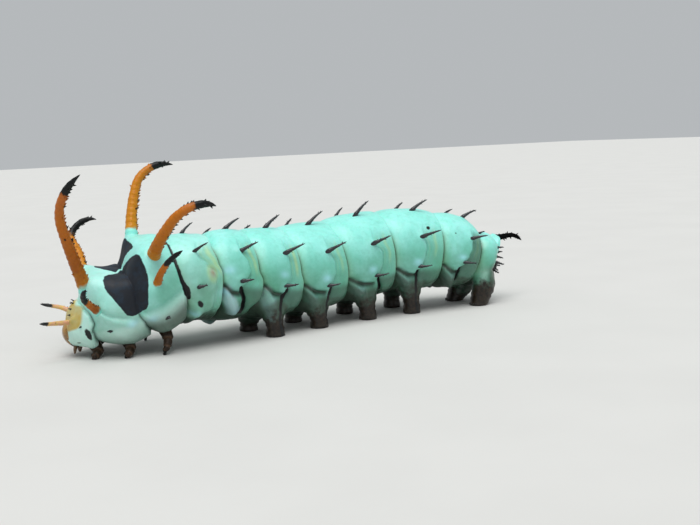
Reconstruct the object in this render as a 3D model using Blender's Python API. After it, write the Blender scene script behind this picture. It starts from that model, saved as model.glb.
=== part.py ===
"""Hickory horned devil larva, life size, standing on its prolegs: head, body segments, legs, horns and spines.

The larva lies along X with its head at -X, on the floor at z = 0. Sizes below are in millimetres.
A point on the body is named by s, the distance along the axis from the front of the first segment,
and by phi, the angle in degrees from the middle of the back, which is positive on the left side.
"""

import random

import bmesh
import bpy
import numpy as np

MM = 0.001
GAP = 0.3
FLOOR = 0.0
SEED = 7

# Body segments: name, length, radius, yaw, pitch, roll. Yaw and pitch turn the axis, roll leans the back.
SEGMENTS = [
    ("thorax_1", 6.6, 6.4, -26.0, 38.0, 6.0),
    ("thorax_2", 10.6, 11.1, -17.0, 25.0, 6.0),
    ("thorax_3", 8.2, 11.9, -8.0, 13.5, 7.0),
    ("abdomen_1", 8.4, 11.7, -1.5, 3.5, -19.0),
    ("abdomen_2", 10.6, 11.6, 5.0, -5.5, -18.0),
    ("abdomen_3", 12.2, 11.7, 8.0, -3.5, -12.0),
    ("abdomen_4", 14.8, 11.9, 5.0, 2.0, -7.5),
    ("abdomen_5", 16.0, 12.0, -1.0, 7.0, -4.5),
    ("abdomen_6", 15.4, 11.7, -8.0, -2.0, -4.0),
    ("abdomen_7", 12.0, 10.9, -9.0, -11.0, -7.0),
    ("abdomen_8", 7.2, 8.9, -5.0, -19.0, -9.0),
    ("abdomen_9", 1.6, 7.8, -4.0, -32.0, -10.0),
    ("abdomen_10", 1.5, 6.2, -4.0, -38.0, -10.0),
]
NAMES = [row[0] for row in SEGMENTS]
T1, T2, T3, A1, A2, A3, A4, A5, A6, A7, A8, A9, A10 = range(len(SEGMENTS))
ANCHOR_SEGMENT = 5
ANCHOR = (-20.3, 0.0, 14.9)
AXIS_SAMPLES = 401
SMOOTHING = 3.0

# Cross-section of a segment
FOLD_DEPTH = np.array([0.8, 0.9, 1.0, 1.4, 1.5, 1.5, 1.5, 1.5, 1.5, 1.5, 1.2, 0.6, 0.5])
FOLD_SHARPNESS = 3.2
CREASE_AT = 0.70
CREASE_STEP = 0.55
LOBE_HEIGHT = 1.3
FLANGE_HEIGHT = 1.0
THORAX_BELLY = 2.2
ABDOMEN_BELLY = 0.9
COLLAR_DEPTH = 3.4
COLLAR_DROP = 2.0
TAIL_DEPTH = 4.5
TAIL_TIP = 1.3
HORN_SWELLING = 2.2
SADDLE_DEPTH = 4.4
SADDLE_REAR = 0.9
SIDES = 28
STATIONS = [0.0, 0.05, 0.16, 0.32, 0.52, 0.66, 0.73, 0.84, 0.95, 1.0]
FRONT_STATIONS = [0.0, 0.12, 0.3, 0.55, 0.8, 1.0]
TAIL_STATIONS = [0.0, 0.35, 0.7, 1.0]

# Rows of spines on the abdomen: angle from the back, length, lean out, lean towards the tail, radius
SPINE_AT = [0.0, 0.0, 0.0, 0.58, 0.58, 0.57, 0.57, 0.57, 0.57, 0.64]
SPINE_ROWS = [(22.0, 5.0, 22.0, 52.0, 0.56), (71.0, 5.0, 60.0, 50.0, 0.56), (110.0, 3.1, 86.0, 55.0, 0.46)]
SPINE_SINK = 1.6
SPINE_WIDTHS = (1.25, 0.75)
SPINE_NARROW_AT = 0.35
SPINE_SPREAD = 4.0
SPINE_LENGTHS = (0.92, 1.06)
FIRST_ROW_SHARE = 0.75
# Small spines elsewhere: segment, u, angles, length, lean towards the tail, radius
SMALL_SPINES = [
    (T1, 0.86, (12.0,), 1.4, -25.0, 0.4),
    (T1, 0.72, (24.5, 81.0), 1.3, -35.0, 0.4),
    (T2, 0.26, (106.5,), 1.0, 40.0, 0.5),
    (T3, 0.51, (112.0,), 1.0, 40.0, 0.5),
    (A8, 0.25, (24.0,), 2.2, 60.0, 0.45),
    (A8, 0.8, (60.0, 84.0), 1.8, 55.0, 0.45),
    (A9, 0.5, (45.0, 80.0, 108.0), 2.4, 50.0, 0.5),
    (A10, 0.45, (20.0, 62.0, 95.0), 2.0, 60.0, 0.45),
]
SPINE_SIDES = 5


# Axis and surface of the body

def smooth(values, step):
    """Rounds the corners of a line of values over SMOOTHING millimetres."""
    half = int(round(2 * SMOOTHING / step))
    x = np.arange(-half, half + 1) * step
    weight = np.exp(-0.5 * (x / SMOOTHING) ** 2)
    padded = np.pad(values, half, mode="edge")
    return np.convolve(padded, weight / weight.sum(), mode="valid")


def make_axis():
    lengths, radii, yaws, pitches, rolls = (np.array(column) for column in list(zip(*SEGMENTS))[1:])
    ends = np.concatenate([[0.0], np.cumsum(lengths)])
    middles = (ends[1:] + ends[:-1]) / 2
    s = np.linspace(0.0, ends[-1], AXIS_SAMPLES)
    step = s[1]
    yaw, pitch, roll = (np.radians(smooth(np.interp(s, middles, v), step)) for v in (yaws, pitches, rolls))
    tangent = np.stack([np.cos(pitch) * np.cos(yaw), np.cos(pitch) * np.sin(yaw), np.sin(pitch)], 1)
    centre = np.concatenate([[[0, 0, 0]], np.cumsum((tangent[1:] + tangent[:-1]) / 2 * step, 0)])
    at_anchor = [np.interp(ends[ANCHOR_SEGMENT], s, centre[:, i]) for i in range(3)]
    centre = centre - at_anchor + ANCHOR
    up = np.array([0, 0, 1.0]) - tangent * tangent[:, 2:3]
    up /= np.linalg.norm(up, axis=1)[:, None]
    side = np.cross(tangent, up)
    dorsal = np.cos(roll)[:, None] * up + np.sin(roll)[:, None] * side
    lateral = np.cos(roll)[:, None] * side - np.sin(roll)[:, None] * up
    radius = smooth(np.interp(s, middles, radii), step)
    return {"s": s, "ends": ends, "centre": centre, "tangent": tangent,
            "dorsal": dorsal, "lateral": lateral, "radius": radius}


AXIS = make_axis()


def frame_at(s):
    """Centre, tangent, dorsal and lateral directions at s."""
    return [np.stack([np.interp(s, AXIS["s"], AXIS[key][:, i]) for i in range(3)], -1)
            for key in ("centre", "tangent", "dorsal", "lateral")]


def ease(x, low, high):
    t = np.clip((x - low) / (high - low), 0, 1)
    return t * t * (3 - 2 * t)


def bump(x, centre, width):
    return np.exp(-0.5 * ((x - centre) / width) ** 2)


def abdomen_form(u, angle):
    """Lobes and creases of an abdominal segment; angle is from the back, without its sign."""
    sides = ease(angle, 25, 60) * (1 - ease(angle, 125, 150))
    crease = -CREASE_STEP * sides * ease(u, CREASE_AT - 0.05, CREASE_AT + 0.03)
    lobe = LOBE_HEIGHT * bump(u, 0.30, 0.17) * bump(angle, 131, 13)
    over_lobe = -0.7 * bump(angle, 113, 6) * (1 - ease(u, 0.35, 0.55))
    behind_lobe = -0.6 * bump(u, 0.57, 0.05) * bump(angle, 128, 13)
    flange = FLANGE_HEIGHT * bump(u, 0.78, 0.14) * bump(angle, 133, 14)
    return crease + lobe + over_lobe + behind_lobe + flange


def front_slope(index, u, angle):
    """Lowers the back of the first segment and the front of the second one."""
    return -COLLAR_DROP * (1 - ease(angle, 25, 110)) * (1 - ease(index - 1 + u, 0.0, 0.55))


def saddle(index, u, angle):
    """The valley across the back between the second and third segments, and the raised back behind it."""
    down = np.where(index == T2, ease(u, 0.3, 1.1), 0.0)
    down = np.where(index == T3, 1 - ease(u, -0.1, 0.5), down)
    raised = np.where(index == T3, SADDLE_REAR * bump(u, 0.75, 0.25), 0.0)
    return -SADDLE_DEPTH * down * (1 - ease(angle, 18, 64)) + raised * (1 - ease(angle, 20, 50))


def collar_form(u, angle):
    """The first segment narrows towards the head."""
    return -COLLAR_DEPTH * (1 - ease(u, -0.25, 0.62)) + 0.5 * bump(u, 0.6, 0.2) * bump(angle, 120, 16)


def thorax_form(u, angle):
    """Swellings at the horns and the lobe above the legs on the second and third segments."""
    horns = bump(u, 0.35, 0.22) * bump(angle, 38, 13) + 0.5 * bump(u, 0.4, 0.22) * bump(angle, 77, 12)
    return horns + bump(u, 0.45, 0.22) * bump(angle, 128, 15)


def eighth_form(u, angle):
    """Full sides, and the swelling that the tail horn stands on."""
    return 0.5 * bump(u, 0.45, 0.3) * bump(angle, 75, 40) + HORN_SWELLING * bump(u, 0.85, 0.3) * bump(angle, 0, 22)


def tail_form(index, u):
    """The last two segments close the body to a rounded end."""
    depth = (index - A9 + u) / 2
    return -TAIL_DEPTH * ease(depth, 0.25, 1.15) * ease(depth, 0, 1.1)


def surface_radius(s, angle):
    """Distance from the axis to the skin; angle in degrees, signed or not."""
    s = np.asarray(s, float)
    angle = np.abs(np.asarray(angle, float))
    index = np.clip(np.searchsorted(AXIS["ends"], s, side="right") - 1, 0, len(SEGMENTS) - 1)
    start = AXIS["ends"][index]
    u = (s - start) / (AXIS["ends"][index + 1] - start)
    swell = 1 - np.abs(2 * u - 1) ** FOLD_SHARPNESS
    fade = np.sqrt(np.clip(swell, 0, 1))
    belly = np.where(index < A1, THORAX_BELLY, ABDOMEN_BELLY) * ease(angle, 128, 172)
    radius = np.interp(s, AXIS["s"], AXIS["radius"]) - FOLD_DEPTH[index] * (1 - swell) - belly
    form = np.where(index == T1, collar_form(u, angle), 0.0)
    form = np.where((index == T2) | (index == T3), fade * thorax_form(u, angle), form)
    form = np.where((index >= A1) & (index <= A7), fade * abdomen_form(u, angle), form)
    form = np.where(index == A8, fade * eighth_form(u, angle), form)
    form = np.where(index > A8, tail_form(index, u), form)
    form = form + np.where(index < T3, front_slope(index, u, angle), 0.0)
    return radius + form + saddle(index, u, angle)


def body_point(s, angle, extra=0.0):
    centre, _, dorsal, lateral = frame_at(np.asarray(s, float))
    turn = np.radians(np.asarray(angle, float))
    out = np.cos(turn)[..., None] * dorsal + np.sin(turn)[..., None] * lateral
    return centre + (surface_radius(s, angle) + extra)[..., None] * out


def station(name, u):
    """s of a place u, from 0 to 1, along a named segment."""
    k = NAMES.index(name)
    return AXIS["ends"][k] + u * (AXIS["ends"][k + 1] - AXIS["ends"][k])


def direction(s, angle, out, back):
    """Unit vector that leans out from the back plane by out degrees, and back towards the tail by back degrees."""
    _, tangent, dorsal, lateral = frame_at(s)
    side = np.sign(angle) if angle else 1.0
    out, back = np.radians(out), np.radians(back)
    return np.cos(back) * (np.cos(out) * dorsal + side * np.sin(out) * lateral) + np.sin(back) * tangent


# Mesh tools

def clear_scene():
    for thing in list(bpy.data.objects):
        bpy.data.objects.remove(thing, do_unlink=True)


def material(name, colour, roughness):
    made = bpy.data.materials.get(name) or bpy.data.materials.new(name)
    made.use_nodes = True
    shader = made.node_tree.nodes["Principled BSDF"]
    shader.inputs["Base Color"].default_value = (*colour, 1.0)
    shader.inputs["Roughness"].default_value = roughness
    shader.inputs["Metallic"].default_value = 0.0
    return made


def solid(name, points, faces, finish):
    """An object from points in millimetres, with its faces turned outwards."""
    mesh = bpy.data.meshes.new(name)
    mesh.from_pydata([tuple(p * MM for p in point) for point in points], [], faces)
    shape = bmesh.new()
    shape.from_mesh(mesh)
    bmesh.ops.recalc_face_normals(shape, faces=shape.faces)
    shape.to_mesh(mesh)
    shape.free()
    made = bpy.data.objects.new(name, mesh)
    bpy.context.collection.objects.link(made)
    if finish:
        mesh.materials.append(finish)
    return made


def loft(name, rings, finish, tip=None):
    """Joins rings of equal count, first to last, and closes both ends; tip is a point that ends it."""
    count = len(rings[0])
    points = [p for ring in rings for p in ring]
    faces = []
    for r in range(len(rings) - 1):
        low = r * count
        for i in range(count):
            j = (i + 1) % count
            faces.append((low + i, low + j, low + count + j, low + count + i))
    faces.append(tuple(range(count))[::-1])
    last = (len(rings) - 1) * count
    if tip is None:
        faces.append(tuple(range(last, last + count)))
    else:
        points.append(tip)
        for i in range(count):
            faces.append((last + i, last + (i + 1) % count, len(points) - 1))
    return solid(name, points, faces, finish)


def tube(name, path, radii, sides, finish, tip=None, flatten=1.0):
    """A tube round a path; flatten squeezes it along its second direction."""
    path = np.asarray(path, float)
    rings = []
    across = None
    for i, centre in enumerate(path):
        ahead = path[min(i + 1, len(path) - 1)] - path[max(i - 1, 0)]
        ahead /= np.linalg.norm(ahead)
        if across is None:
            across = np.cross(ahead, (0, 0, 1) if abs(ahead[2]) < 0.9 else (0, 1, 0))
        across = across - ahead * (across @ ahead)
        across /= np.linalg.norm(across)
        other = np.cross(ahead, across)
        turn = np.arange(sides) * 2 * np.pi / sides
        rings.append([centre + radii[i] * (np.cos(a) * across + flatten * np.sin(a) * other) for a in turn])
    return loft(name, rings, finish, tip)


def apply_boolean(target, cutter, operation, solver="EXACT"):
    step = target.modifiers.new("boolean", "BOOLEAN")
    step.operation = operation
    step.solver = solver
    if isinstance(cutter, bpy.types.Collection):
        step.operand_type = "COLLECTION"
        step.collection = cutter
    else:
        step.object = cutter
    graph = bpy.context.evaluated_depsgraph_get()
    mesh = bpy.data.meshes.new_from_object(target.evaluated_get(graph))
    target.modifiers.clear()
    target.data = mesh


def keep_largest(target):
    """Leaves only the closed surface that spans the most."""
    shape = bmesh.new()
    shape.from_mesh(target.data)
    left = set(shape.verts)
    groups = []
    while left:
        queue = [left.pop()]
        group = set(queue)
        while queue:
            for edge in queue.pop().link_edges:
                for vert in edge.verts:
                    if vert not in group:
                        group.add(vert)
                        left.discard(vert)
                        queue.append(vert)
        groups.append(group)

    def span(group):
        places = np.array([vert.co for vert in group])
        return float(np.prod(places.max(0) - places.min(0)))

    groups.sort(key=span)
    for group in groups[:-1]:
        bmesh.ops.delete(shape, geom=list(group), context="VERTS")
    shape.to_mesh(target.data)
    shape.free()


def remove(thing):
    bpy.data.objects.remove(thing, do_unlink=True)


def join(target, pieces):
    """Fuses closed pieces to the target with one union."""
    group = bpy.data.collections.new("pieces")
    for piece in pieces:
        group.objects.link(piece)
    apply_boolean(target, group, "UNION")
    for piece in pieces:
        remove(piece)
    bpy.data.collections.remove(group)
    keep_largest(target)


def cut(target, cutters):
    for cutter in cutters:
        apply_boolean(target, cutter, "DIFFERENCE")
    keep_largest(target)


def cut_at_floor(target):
    """Removes all below the floor and closes the flat sole."""
    shape = bmesh.new()
    shape.from_mesh(target.data)
    everything = list(shape.verts) + list(shape.edges) + list(shape.faces)
    done = bmesh.ops.bisect_plane(shape, geom=everything, dist=1e-7, plane_co=(0, 0, FLOOR),
                                  plane_no=(0, 0, 1), clear_inner=True)
    rim = [e for e in done["geom_cut"] if isinstance(e, bmesh.types.BMEdge)]
    bmesh.ops.contextual_create(shape, geom=rim)
    bmesh.ops.recalc_face_normals(shape, faces=shape.faces)
    shape.to_mesh(target.data)
    shape.free()


# Finishes

MINT = material("mint_skin", (0.30, 0.75, 0.58), 0.38)
ORANGE = material("orange_horn", (0.72, 0.27, 0.04), 0.35)
BLACK = material("black_spine", (0.02, 0.02, 0.025), 0.3)
BROWN = material("brown_head", (0.42, 0.17, 0.05), 0.35)
DARK_LEG = material("dark_leg", (0.10, 0.06, 0.04), 0.4)


# Body segments with their spines

def body_rings(first, last, stations, extra):
    """Rings from one s to another, at the given shares of the way."""
    angles = np.arange(SIDES) * 360.0 / SIDES
    signed = np.where(angles > 180, angles - 360, angles)
    return [body_point(np.full(SIDES, first + u * (last - first)), signed, extra) for u in stations]


def stations_of(index):
    if index == T1:
        return FRONT_STATIONS
    return TAIL_STATIONS if index > A8 else STATIONS


def body_cutter():
    """The whole body, swollen by the gap, to cut what grows from it."""
    rings = []
    for k in range(len(SEGMENTS)):
        rings += body_rings(AXIS["ends"][k] + GAP / 2, AXIS["ends"][k + 1] - GAP / 2, stations_of(k), GAP)
    return loft("cutter", rings, None)


def spine(s, angle, length, out, lean, radius, draw):
    """A tapered spine of few sides that leans towards the tail."""
    way = direction(s, angle, out + draw.uniform(-SPINE_SPREAD, SPINE_SPREAD),
                    lean + draw.uniform(-SPINE_SPREAD, SPINE_SPREAD))
    normal = direction(s, angle, abs(angle), 0.0)
    root = body_point(s, angle)
    path = np.array([root - normal * SPINE_SINK, root + way * SPINE_NARROW_AT * length])
    tip = root + way * length * draw.uniform(*SPINE_LENGTHS)
    return tube("spine", path, [radius * width for width in SPINE_WIDTHS], SPINE_SIDES, None, tip=tip)


def make_segment(index, draw):
    first, last = AXIS["ends"][index] + GAP / 2, AXIS["ends"][index + 1] - GAP / 2
    tip = None
    if index == A10:
        centre, tangent, _, _ = frame_at(last)
        tip = centre + tangent * TAIL_TIP
    made = loft(NAMES[index], body_rings(first, last, stations_of(index), 0.0), MINT, tip)
    spines = []
    if A1 <= index <= A7:
        s = AXIS["ends"][index] + SPINE_AT[index] * (last - first)
        share = FIRST_ROW_SHARE if index == A1 else 1.0
        for angle, length, out, lean, radius in SPINE_ROWS:
            for sign in (1, -1):
                spines.append(spine(s, sign * angle, length * share, out, lean, radius * share, draw))
    for k, u, angles, length, lean, radius in SMALL_SPINES:
        if k == index:
            for angle in angles:
                for sign in (1, -1):
                    s = station(NAMES[k], u)
                    spines.append(spine(s, sign * angle, length, angle, lean, radius, draw))
    if spines:
        join(made, spines)
    return made


# Horns: name, segment, u, angle, length, base radius, then the leans out and back at three places along it
HORNS = [
    ("horn_t1_left", T1, 0.56, 57.0, 7.7, 0.62, (36, 41, 42), (-42, -38, -27)),
    ("horn_t1_right", T1, 0.56, -32.0, 8.7, 0.62, (40, 39, 38), (-20, -42, -40)),
    ("horn_t2_left_long", T2, 0.3, 37.0, 29.6, 1.56, (14, 19, 39), (10, 17, 76)),
    ("horn_t2_right_long", T2, 0.25, -31.0, 23.2, 1.3, (56, 60, 51), (21, -5, 148)),
    ("horn_t2_left_short", T2, 0.3, 77.0, 10.8, 1.0, (43, 45, 59), (-11, -3, 46)),
    ("horn_t2_right_short", T2, 0.3, -77.0, 10.8, 1.0, (43, 45, 59), (-11, -3, 46)),
    ("horn_t3_left_long", T3, 0.63, 44.5, 24.6, 1.6, (56, 41, 38), (2, 36, 137)),
    ("horn_t3_right_long", T3, 0.51, -31.0, 26.0, 1.6, (34, 22, 26), (16, 31, 120)),
    ("horn_t3_left_short", T3, 0.48, 78.0, 12.6, 1.0, (38, 46, 58), (8, 28, 53)),
    ("horn_t3_right_short", T3, 0.48, -78.0, 12.6, 1.0, (50, 60, 70), (8, 28, 53)),
    ("horn_tail", A8, 0.92, 0.0, 10.5, 1.0, (0, 0, 0), (62, 56, 115)),
]
HORN_KEYS = (0.0, 0.55, 1.0)
HORN_RINGS = 8
HORN_SIDES = 8
HORN_SINK = 1.2
HORN_TAPER = 0.40
HORN_TIP_TAPER = 0.15


def horn_path(row, count):
    _, index, u, angle, length, _, outs, backs = row
    s = station(NAMES[index], u)
    points = [body_point(s, angle, -HORN_SINK)]
    length = length + HORN_SINK
    for i in range(count):
        t = (i + 0.5) / count
        way = direction(s, angle, np.interp(t, HORN_KEYS, outs), np.interp(t, HORN_KEYS, backs))
        points.append(points[-1] + way * length / count)
    return np.array(points)


def make_horn(row, cutter):
    path = horn_path(row, HORN_RINGS)
    radius = row[5]
    share = np.linspace(0, 1, HORN_RINGS + 1)[:-1]
    radii = radius * (1 - HORN_TAPER * share - HORN_TIP_TAPER * share ** 4)
    finish = BLACK if row[0] == "horn_tail" else ORANGE
    made = tube(row[0], path[:-1], radii, HORN_SIDES, finish, tip=path[-1])
    cut(made, [cutter])
    return made


# Legs: each ends on a small flat sole at the floor

LEG_AT = (0.56, 0.42, 0.42)
LEG_ANGLE = 140.0
LEG_SINK = 1.6
LEG_HIP = 0.9
LEG_OUT = 1.6
LEG_FORWARD = 1.4
LEG_KNEE = 1.0
LEG_RADII = (1.5, 1.3, 0.85, 0.5, 0.34)
LEG_SIDES = 7
ANKLE_RISE = 0.7
SOLE_CUT = 0.6
# Prolegs: name, segment, u, angle, radii from the root to the sole, lean towards the head
PROLEGS = [(f"proleg_{k - T3}", k, 0.44, 150.0, (3.2, 2.9, 2.1, 2.2, 2.1), 0.0) for k in range(A3, A7)]
PROLEGS.append(("anal_proleg", A8, 0.72, 140.0, (3.9, 3.7, 3.0, 2.4, 2.3), 3.0))
PROLEG_SINK = 2.6
PROLEG_HIP = 0.2
PROLEG_WAIST = 0.55
PROLEG_SPREAD = 0.2
PROLEG_HEEL = 0.6
PROLEG_CUT = 0.8
PROLEG_SIDES = 12


def make_leg(name, index, side, cutter):
    s = station(NAMES[index], LEG_AT[index])
    root = body_point(s, side * LEG_ANGLE, -LEG_SINK)
    hip = body_point(s, side * LEG_ANGLE, LEG_HIP)
    _, tangent, _, lateral = frame_at(s)
    foot = hip + side * lateral * LEG_OUT - tangent * LEG_FORWARD
    foot[2] = FLOOR
    knee = (hip + foot) / 2 + side * lateral * LEG_KNEE
    path = [root, hip, knee, foot + (0, 0, ANKLE_RISE), foot - (0, 0, SOLE_CUT)]
    made = tube(name, path, LEG_RADII, LEG_SIDES, DARK_LEG)
    cut_at_floor(made)
    cut(made, [cutter])
    return made


def make_proleg(row, word, side, cutter):
    name, index, at, angle, radii, lean = row
    s = station(NAMES[index], at)
    root = body_point(s, side * angle, -PROLEG_SINK)
    hip = body_point(s, side * angle, PROLEG_HIP)
    foot = hip + (hip - root) * PROLEG_SPREAD - frame_at(s)[1] * lean
    foot[2] = FLOOR
    waist = hip * (1 - PROLEG_WAIST) + foot * PROLEG_WAIST
    path = [root, hip, waist, foot + (0, 0, PROLEG_HEEL), foot - (0, 0, PROLEG_CUT)]
    made = tube(f"{name}_{word}", path, radii, PROLEG_SIDES, MINT)
    cut_at_floor(made)
    cut(made, [cutter])
    return made


# Head and mouthparts

HEAD_AT = 1.8
HEAD_DROP = 0.5
HEAD_SIZE = (3.4, 3.7, 3.6)
HEAD_TILT = 6.0
HEAD_COLUMNS = 16
HEAD_ROWS = 10
CROWN_WIDENING = 0.12
FACE_FLATNESS = 0.92
EYES = 6
EYE_TURNS = (-70.0, 36.0)
EYE_CENTRE = (1.4, -1.1)
EYE_RING = 0.85
EYE_RADIUS = 0.36
EYE_SIDES = 5
EYE_INSET = 0.96
EYE_SINK = 0.5
EYE_RIM = 0.12
EYE_DOME = 0.32
# Mouthparts: forward, to the side and up from the middle of the head, with a radius at each place
MANDIBLE = [(1.0, 1.2, -1.6, 0.85), (2.2, 1.15, -2.8, 0.8), (2.8, 0.75, -3.3, 0.4)]
ANTENNA = [(1.4, 1.8, -1.2, 0.55), (2.6, 2.6, -2.0, 0.42), (3.4, 3.0, -2.6, 0.28)]
LABRUM = [(1.6, 0.0, -1.2, 1.1), (3.1, 0.0, -2.1, 1.0), (3.9, 0.0, -2.5, 0.7)]


def head_frame():
    centre, tangent, dorsal, lateral = frame_at(0.0)
    tilt = np.radians(HEAD_TILT)
    face = -tangent * np.cos(tilt) - dorsal * np.sin(tilt)
    crown = dorsal * np.cos(tilt) - tangent * np.sin(tilt)
    middle = centre + tangent * HEAD_AT - dorsal * HEAD_DROP
    return middle, face, crown, lateral


def head_point(forward, left, up):
    middle, face, crown, lateral = head_frame()
    return middle + forward * face + left * lateral + up * crown


def make_ball(name, finish, extra=0.0):
    """The head capsule: a ball, flatter on the face and narrower at the mouth."""
    count = HEAD_COLUMNS
    rings = []
    for r in range(1, HEAD_ROWS):
        up = np.cos(np.pi * r / HEAD_ROWS)
        wide = np.sin(np.pi * r / HEAD_ROWS)
        ring = []
        for c in range(count):
            turn = 2 * np.pi * c / count
            forward = np.cos(turn) * wide * (HEAD_SIZE[0] + extra)
            left = np.sin(turn) * wide * (HEAD_SIZE[1] + extra) * (1 + CROWN_WIDENING * up)
            forward = forward if forward < 0 else forward * FACE_FLATNESS
            ring.append(head_point(forward, left, up * (HEAD_SIZE[2] + extra)))
        rings.append(ring)
    points = [p for ring in rings for p in ring]
    faces = []
    for r in range(len(rings) - 1):
        for i in range(count):
            j = (i + 1) % count
            faces.append((r * count + i, r * count + j, (r + 1) * count + j, (r + 1) * count + i))
    points += [head_point(0, 0, HEAD_SIZE[2] + extra), head_point(0, 0, -HEAD_SIZE[2] - extra)]
    last = (len(rings) - 1) * count
    for i in range(count):
        j = (i + 1) % count
        faces.append((i, j, len(points) - 2))
        faces.append((last + i, last + j, len(points) - 1))
    return solid(name, points, faces, finish)


def make_eye(side, turn):
    """One of the ring of small eyes low on a cheek."""
    forward = EYE_CENTRE[0] + EYE_RING * np.cos(turn)
    up = EYE_CENTRE[1] + EYE_RING * np.sin(turn)
    inside = 1 - (forward / HEAD_SIZE[0] / FACE_FLATNESS) ** 2 - (up / HEAD_SIZE[2]) ** 2
    place = head_point(forward, side * HEAD_SIZE[1] * EYE_INSET * np.sqrt(inside), up)
    way = place - head_point(forward * 0.3, 0, up * 0.3)
    way /= np.linalg.norm(way)
    path = [place - way * EYE_SINK, place + way * EYE_RIM]
    return tube("eye", path, [EYE_RADIUS, EYE_RADIUS * 0.8], EYE_SIDES, None, tip=place + way * EYE_DOME)


def make_head(cutter):
    head = make_ball("head", BROWN)
    turns = np.radians(EYE_TURNS[0] + EYE_TURNS[1] * np.arange(EYES))
    join(head, [make_eye(side, turn) for side in (1, -1) for turn in turns])
    cut(head, [cutter])


def mouthpart(name, table, side, sides, flatten):
    path = [head_point(forward, side * out, up) for forward, out, up, _ in table]
    return tube(name, path, [row[3] for row in table], sides, BROWN, flatten=flatten)


def make_mouthparts(body):
    head = make_ball("cutter_head", None, GAP)
    parts = [mouthpart("labrum", LABRUM, 1, 8, 0.32)]
    for word, side in (("left", 1), ("right", -1)):
        parts.append(mouthpart(f"mandible_{word}", MANDIBLE, side, 7, 0.7))
        parts.append(mouthpart(f"antenna_{word}", ANTENNA, side, 6, 1.0))
    for part in parts:
        cut(part, [head, body])
    remove(head)


def main():
    clear_scene()
    draw = random.Random(SEED)
    cutter = body_cutter()
    for index in range(len(SEGMENTS)):
        make_segment(index, draw)
    for row in HORNS:
        make_horn(row, cutter)
    for side, word in ((1, "left"), (-1, "right")):
        for index in (T1, T2, T3):
            make_leg(f"leg_{index + 1}_{word}", index, side, cutter)
        for row in PROLEGS:
            make_proleg(row, word, side, cutter)
    make_head(cutter)
    make_mouthparts(cutter)
    remove(cutter)


main()
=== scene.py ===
"""Hickory horned devil larva, a life-size museum model of the real animal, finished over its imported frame.

The larva lies along X with its head at -X, on the floor at z = 0. Sizes in this file are in millimetres
unless a name or a property says otherwise. A place on the body is named by s, the distance along the axis
from the front of the first segment, or by a segment and the share u of its length, and by an angle in
degrees from the middle of the back, positive on the left side.
"""

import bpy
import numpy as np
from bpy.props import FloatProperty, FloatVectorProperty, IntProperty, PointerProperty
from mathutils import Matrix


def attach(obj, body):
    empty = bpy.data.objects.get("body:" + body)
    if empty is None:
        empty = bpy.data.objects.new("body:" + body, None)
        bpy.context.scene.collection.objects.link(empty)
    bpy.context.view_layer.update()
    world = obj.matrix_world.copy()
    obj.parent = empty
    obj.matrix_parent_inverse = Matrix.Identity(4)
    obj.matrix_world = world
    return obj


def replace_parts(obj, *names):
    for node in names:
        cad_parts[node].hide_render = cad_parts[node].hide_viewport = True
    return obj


bl_info = {
    "name": "Hickory Horned Devil Larva",
    "version": (1, 0, 0),
    "blender": (4, 5, 0),
    "location": "3D View > Sidebar > Larva",
    "description": "Skin, horns, spines, head and legs of a hickory horned devil larva, over its frame",
    "category": "Object",
}

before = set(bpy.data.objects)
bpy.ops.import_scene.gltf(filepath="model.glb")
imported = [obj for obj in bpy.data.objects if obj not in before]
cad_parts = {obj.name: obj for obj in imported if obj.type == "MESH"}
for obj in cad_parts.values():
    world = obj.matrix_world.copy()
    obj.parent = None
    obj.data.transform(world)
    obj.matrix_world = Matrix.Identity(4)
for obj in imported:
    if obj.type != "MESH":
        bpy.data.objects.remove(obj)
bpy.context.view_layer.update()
MM = 0.001

# Body segments: name, length, radius, yaw, pitch, roll. Yaw and pitch turn the axis, roll leans the back.
SEGMENTS = [
    ("thorax_1", 6.6, 6.4, -26.0, 38.0, 6.0),
    ("thorax_2", 10.6, 11.1, -17.0, 25.0, 6.0),
    ("thorax_3", 8.2, 11.9, -8.0, 13.5, 7.0),
    ("abdomen_1", 8.4, 11.7, -1.5, 3.5, -19.0),
    ("abdomen_2", 10.6, 11.6, 5.0, -5.5, -18.0),
    ("abdomen_3", 12.2, 11.7, 8.0, -3.5, -12.0),
    ("abdomen_4", 14.8, 11.9, 5.0, 2.0, -7.5),
    ("abdomen_5", 16.0, 12.0, -1.0, 7.0, -4.5),
    ("abdomen_6", 15.4, 11.7, -8.0, -2.0, -4.0),
    ("abdomen_7", 12.0, 10.9, -9.0, -11.0, -7.0),
    ("abdomen_8", 7.2, 8.9, -5.0, -19.0, -9.0),
    ("abdomen_9", 1.6, 7.8, -4.0, -32.0, -10.0),
    ("abdomen_10", 1.5, 6.2, -4.0, -38.0, -10.0),
]
NAMES = [row[0] for row in SEGMENTS]
T1, T2, T3, A1, A2, A3, A4, A5, A6, A7, A8, A9, A10 = range(len(SEGMENTS))
# The axis passes through ANCHOR at the front of A3; its samples, and the reach over which it is smoothed
ANCHOR = (-20.3, 0.0, 14.9)
AXIS_SAMPLES = 401
SMOOTHING = 3.0
# Radius that turns degrees round the body into millimetres, and the length of one degree
MEAN_RADIUS = 11.5
DEGREE = np.radians(MEAN_RADIUS)

# Depth of each fold at the back, at the sides and added low down; fold k is the front of segment k
FOLD_BACK = np.array([0.0, 0.5, 0.3, 0.5, 1.3, 0.6, 0.6, 0.6, 0.6, 0.7, 0.8, 0.5, 0.3, 0.0])
FOLD_SIDE = np.array([0.0, 1.0, 0.35, 0.9, 1.2, 1.3, 1.3, 1.3, 1.3, 1.3, 1.1, 0.6, 0.4, 0.0])
FOLD_LOW = np.array([0.0, 0.3, 0.9, 0.9, 0.9, 0.9, 0.9, 0.9, 0.9, 0.9, 0.6, 0.2, 0.0, 0.0])
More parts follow.
